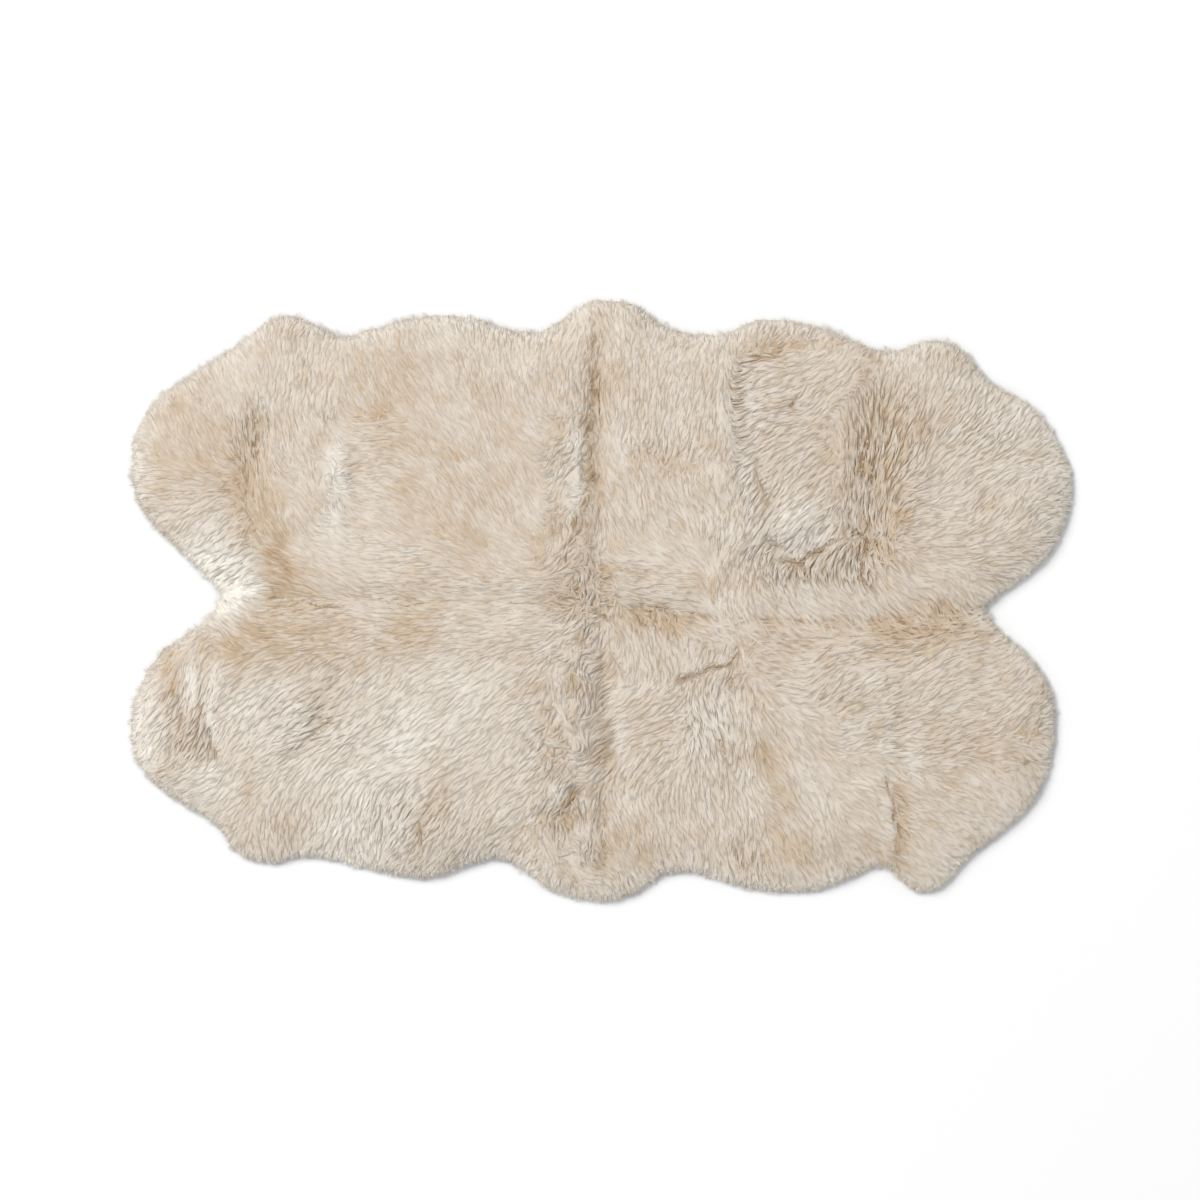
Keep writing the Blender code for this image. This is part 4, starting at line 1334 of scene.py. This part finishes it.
def strand_tones(path, kind, owner, across, openness, way, places, at_rim):
    """Each place's own place on the wool's ramp."""
    tone = read_map(tone_map, places[:, :, 0], places[:, :, 1])
    tone *= chance.uniform(*PATCH_SHARES, len(path))[owner][:, None]
    own_tone = read_map(fine_tone_map, places[:, WIDEST, 0], places[:, WIDEST, 1])
    staple_tone = chance.normal(0, STAPLE_TONE_SPREAD, len(path))[owner]
    own_tone += staple_tone + chance.normal(0, STRAND_TONE_SPREAD, len(owner))
    # a staple's sides are darkened with painted shade
    tone += (TIP_TONE + KIND_TONE[kind] - SIDE_SHADE * across**2 + own_tone)[:, None]
    # the roots' tan is partly the wool's own and partly painted shade
    root_tan_and_shade = ROOT_TAN_AND_SHADE + PARTED_ROOT_TAN_AND_SHADE * openness
    # the rim's tips are lightened with painted light
    tip_tone = RIM_TIP_PAINTED_LIGHT * at_rim[:, None] * way
    in_crease = read_map(crease_map, places[:, :, 0], places[:, :, 1])
    # a crease is darkened with painted shade
    crease_shade = CREASE_SHADE[kind] * chance.uniform(*CREASE_SHADE_SHARES, len(owner))[:, None]
    return tone - root_tan_and_shade * (1 - tip_tone_shares) - crease_shade * in_crease + tip_tone


# %% Strands of a staple
SOFT_NORMAL = 0.95  # how far a strand is lit as the rug's surface is, and not as a thread of its own
PARTED_HARDNESS = 0.26  # how much less it is where the locks stand apart


def make_strands(path, kind):
    """The strands of some staples, as arrays with one row for each strand."""
    per_staple = STRANDS_PER_STAPLE[kind]
    count = len(path) * per_staple
    owner = np.repeat(np.arange(len(path)), per_staple)
    across = np.tile(np.linspace(-1, 1, per_staple), len(path)) + chance.normal(0, ACROSS_SPREAD, count)
    openness = read_map(open_map, *path[owner, 0].T)[:, None]
    way, places, at_rim = strands_from_above(path, kind, owner, across, openness)
    height = strand_heights(path, kind, owner, across, openness, way, places)
    tone = strand_tones(path, kind, owner, across, openness, way, places, at_rim)
    own_width = chance.uniform(*WIDTH_SHARES, count) * (1 - RIM_NARROWING * at_rim)
    return {
        "spine": np.dstack([places, height]),
        "tone": tone,
        "width": STRAND_WIDTH * own_width * KIND_WIDTH[kind],
        "across": across,
        "softness": (SOFT_NORMAL - PARTED_HARDNESS * openness)[:, 0],
    }


# %% Strand meshes
FLATNESS = 0.18  # a strand's height as a share of its width
ROUND_NORMAL = 0.22  # how far it is lit as a part of its staple
LOWEST_CORNER = 0.4 * MM


def unit(vectors):
    """Vectors of length 1."""
    return vectors / (np.linalg.norm(vectors, axis=2, keepdims=True) + TINY)


def soft_normals(strands, points, facing, side):
    """Normals between each strand's own, its staple's round top and the rug's surface."""
    ground = np.stack([read_map(slope, points[:, :, 0], points[:, :, 1]) for slope in ground_normal], 2)
    staple = ground + side[:, PLACE_OF_CORNER] * (strands["across"] * ROUND_NORMAL)[:, None, None]
    softness = strands["softness"][:, None, None]
    return unit(unit(facing) * (1 - softness) + staple * softness)


def strand_mesh(name, strands):
    """One mesh of three-sided strands, each pointed at its root and its tip."""
    spine = strands["spine"]
    count = len(spine)
    heading = unit(np.gradient(spine, axis=1))
    side = unit(np.stack([-heading[:, :, 1], heading[:, :, 0], np.zeros(heading.shape[:2])], 2))
    up = np.cross(heading, side)
    points = spine[:, PLACE_OF_CORNER].copy()
    facing = heading[:, PLACE_OF_CORNER].copy()
    facing[:, 0] *= -1
    faces = []
    tip = 1 + SIDES
    for number in range(SIDES):
        angle = math.pi / 2 + number * 2 * math.pi / SIDES
        out = side[:, WIDEST] * math.cos(angle) + up[:, WIDEST] * (math.sin(angle) * FLATNESS)
        points[:, 1 + number] += out * (strands["width"] / 2)[:, None]
        facing[:, 1 + number] = out
        a, b = 1 + number, 1 + (number + 1) % SIDES
        faces += [(0, b, a), (a, b, tip)]
    points[:, :, 2] = np.maximum(points[:, :, 2], LOWEST_CORNER)
    triangles = (np.array(faces)[None] + np.arange(count)[:, None, None] * (tip + 1)).reshape(-1, 3)

    mesh = bpy.data.meshes.new(name)
    mesh.vertices.add(count * (tip + 1))
    mesh.vertices.foreach_set("co", points.astype(np.float32).ravel())
    mesh.loops.add(len(triangles) * 3)
    mesh.loops.foreach_set("vertex_index", triangles.astype(np.int32).ravel())
    mesh.polygons.add(len(triangles))
    mesh.polygons.foreach_set("loop_start", np.arange(0, len(triangles) * 3, 3, dtype=np.int32))
    mesh.update(calc_edges=True)
    mesh.shade_smooth()
    mesh.normals_split_custom_set_from_vertices(soft_normals(strands, points, facing, side).reshape(-1, 3))
    layer = mesh.attributes.new("tone", "FLOAT", "POINT")
    layer.data.foreach_set("value", strands["tone"][:, PLACE_OF_CORNER].astype(np.float32).ravel())
    return mesh


# %% Strand pieces
PIECES_PER_PELT = 2
strand_count = 0
wool = {pelt: [] for pelt in PELTS}
for pelt in PELTS:
    sets = [make_strands(paths, kind) for kind, paths in staples[pelt].items()]
    strands = {key: np.concatenate([part[key] for part in sets]) for key in sets[0]}
    parts = np.array_split(np.arange(len(strands["spine"])), PIECES_PER_PELT)
    for number, part in enumerate(parts, start=1):
        name = f"wool_{pelt}_{number}"
        mesh = strand_mesh(name, {key: values[part] for key, values in strands.items()})
        mesh.materials.append(strand_wool)
        piece = bpy.data.objects.new(name, mesh)
        bpy.context.scene.collection.objects.link(piece)
        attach(piece, "root")
        wool[pelt].append(piece)
        strand_count += len(part)
        print(name, "has", len(mesh.polygons), "triangles")
print("Strands in all:", strand_count)

# %% A loop over the pelts that adds nothing
for pelt in PELTS:
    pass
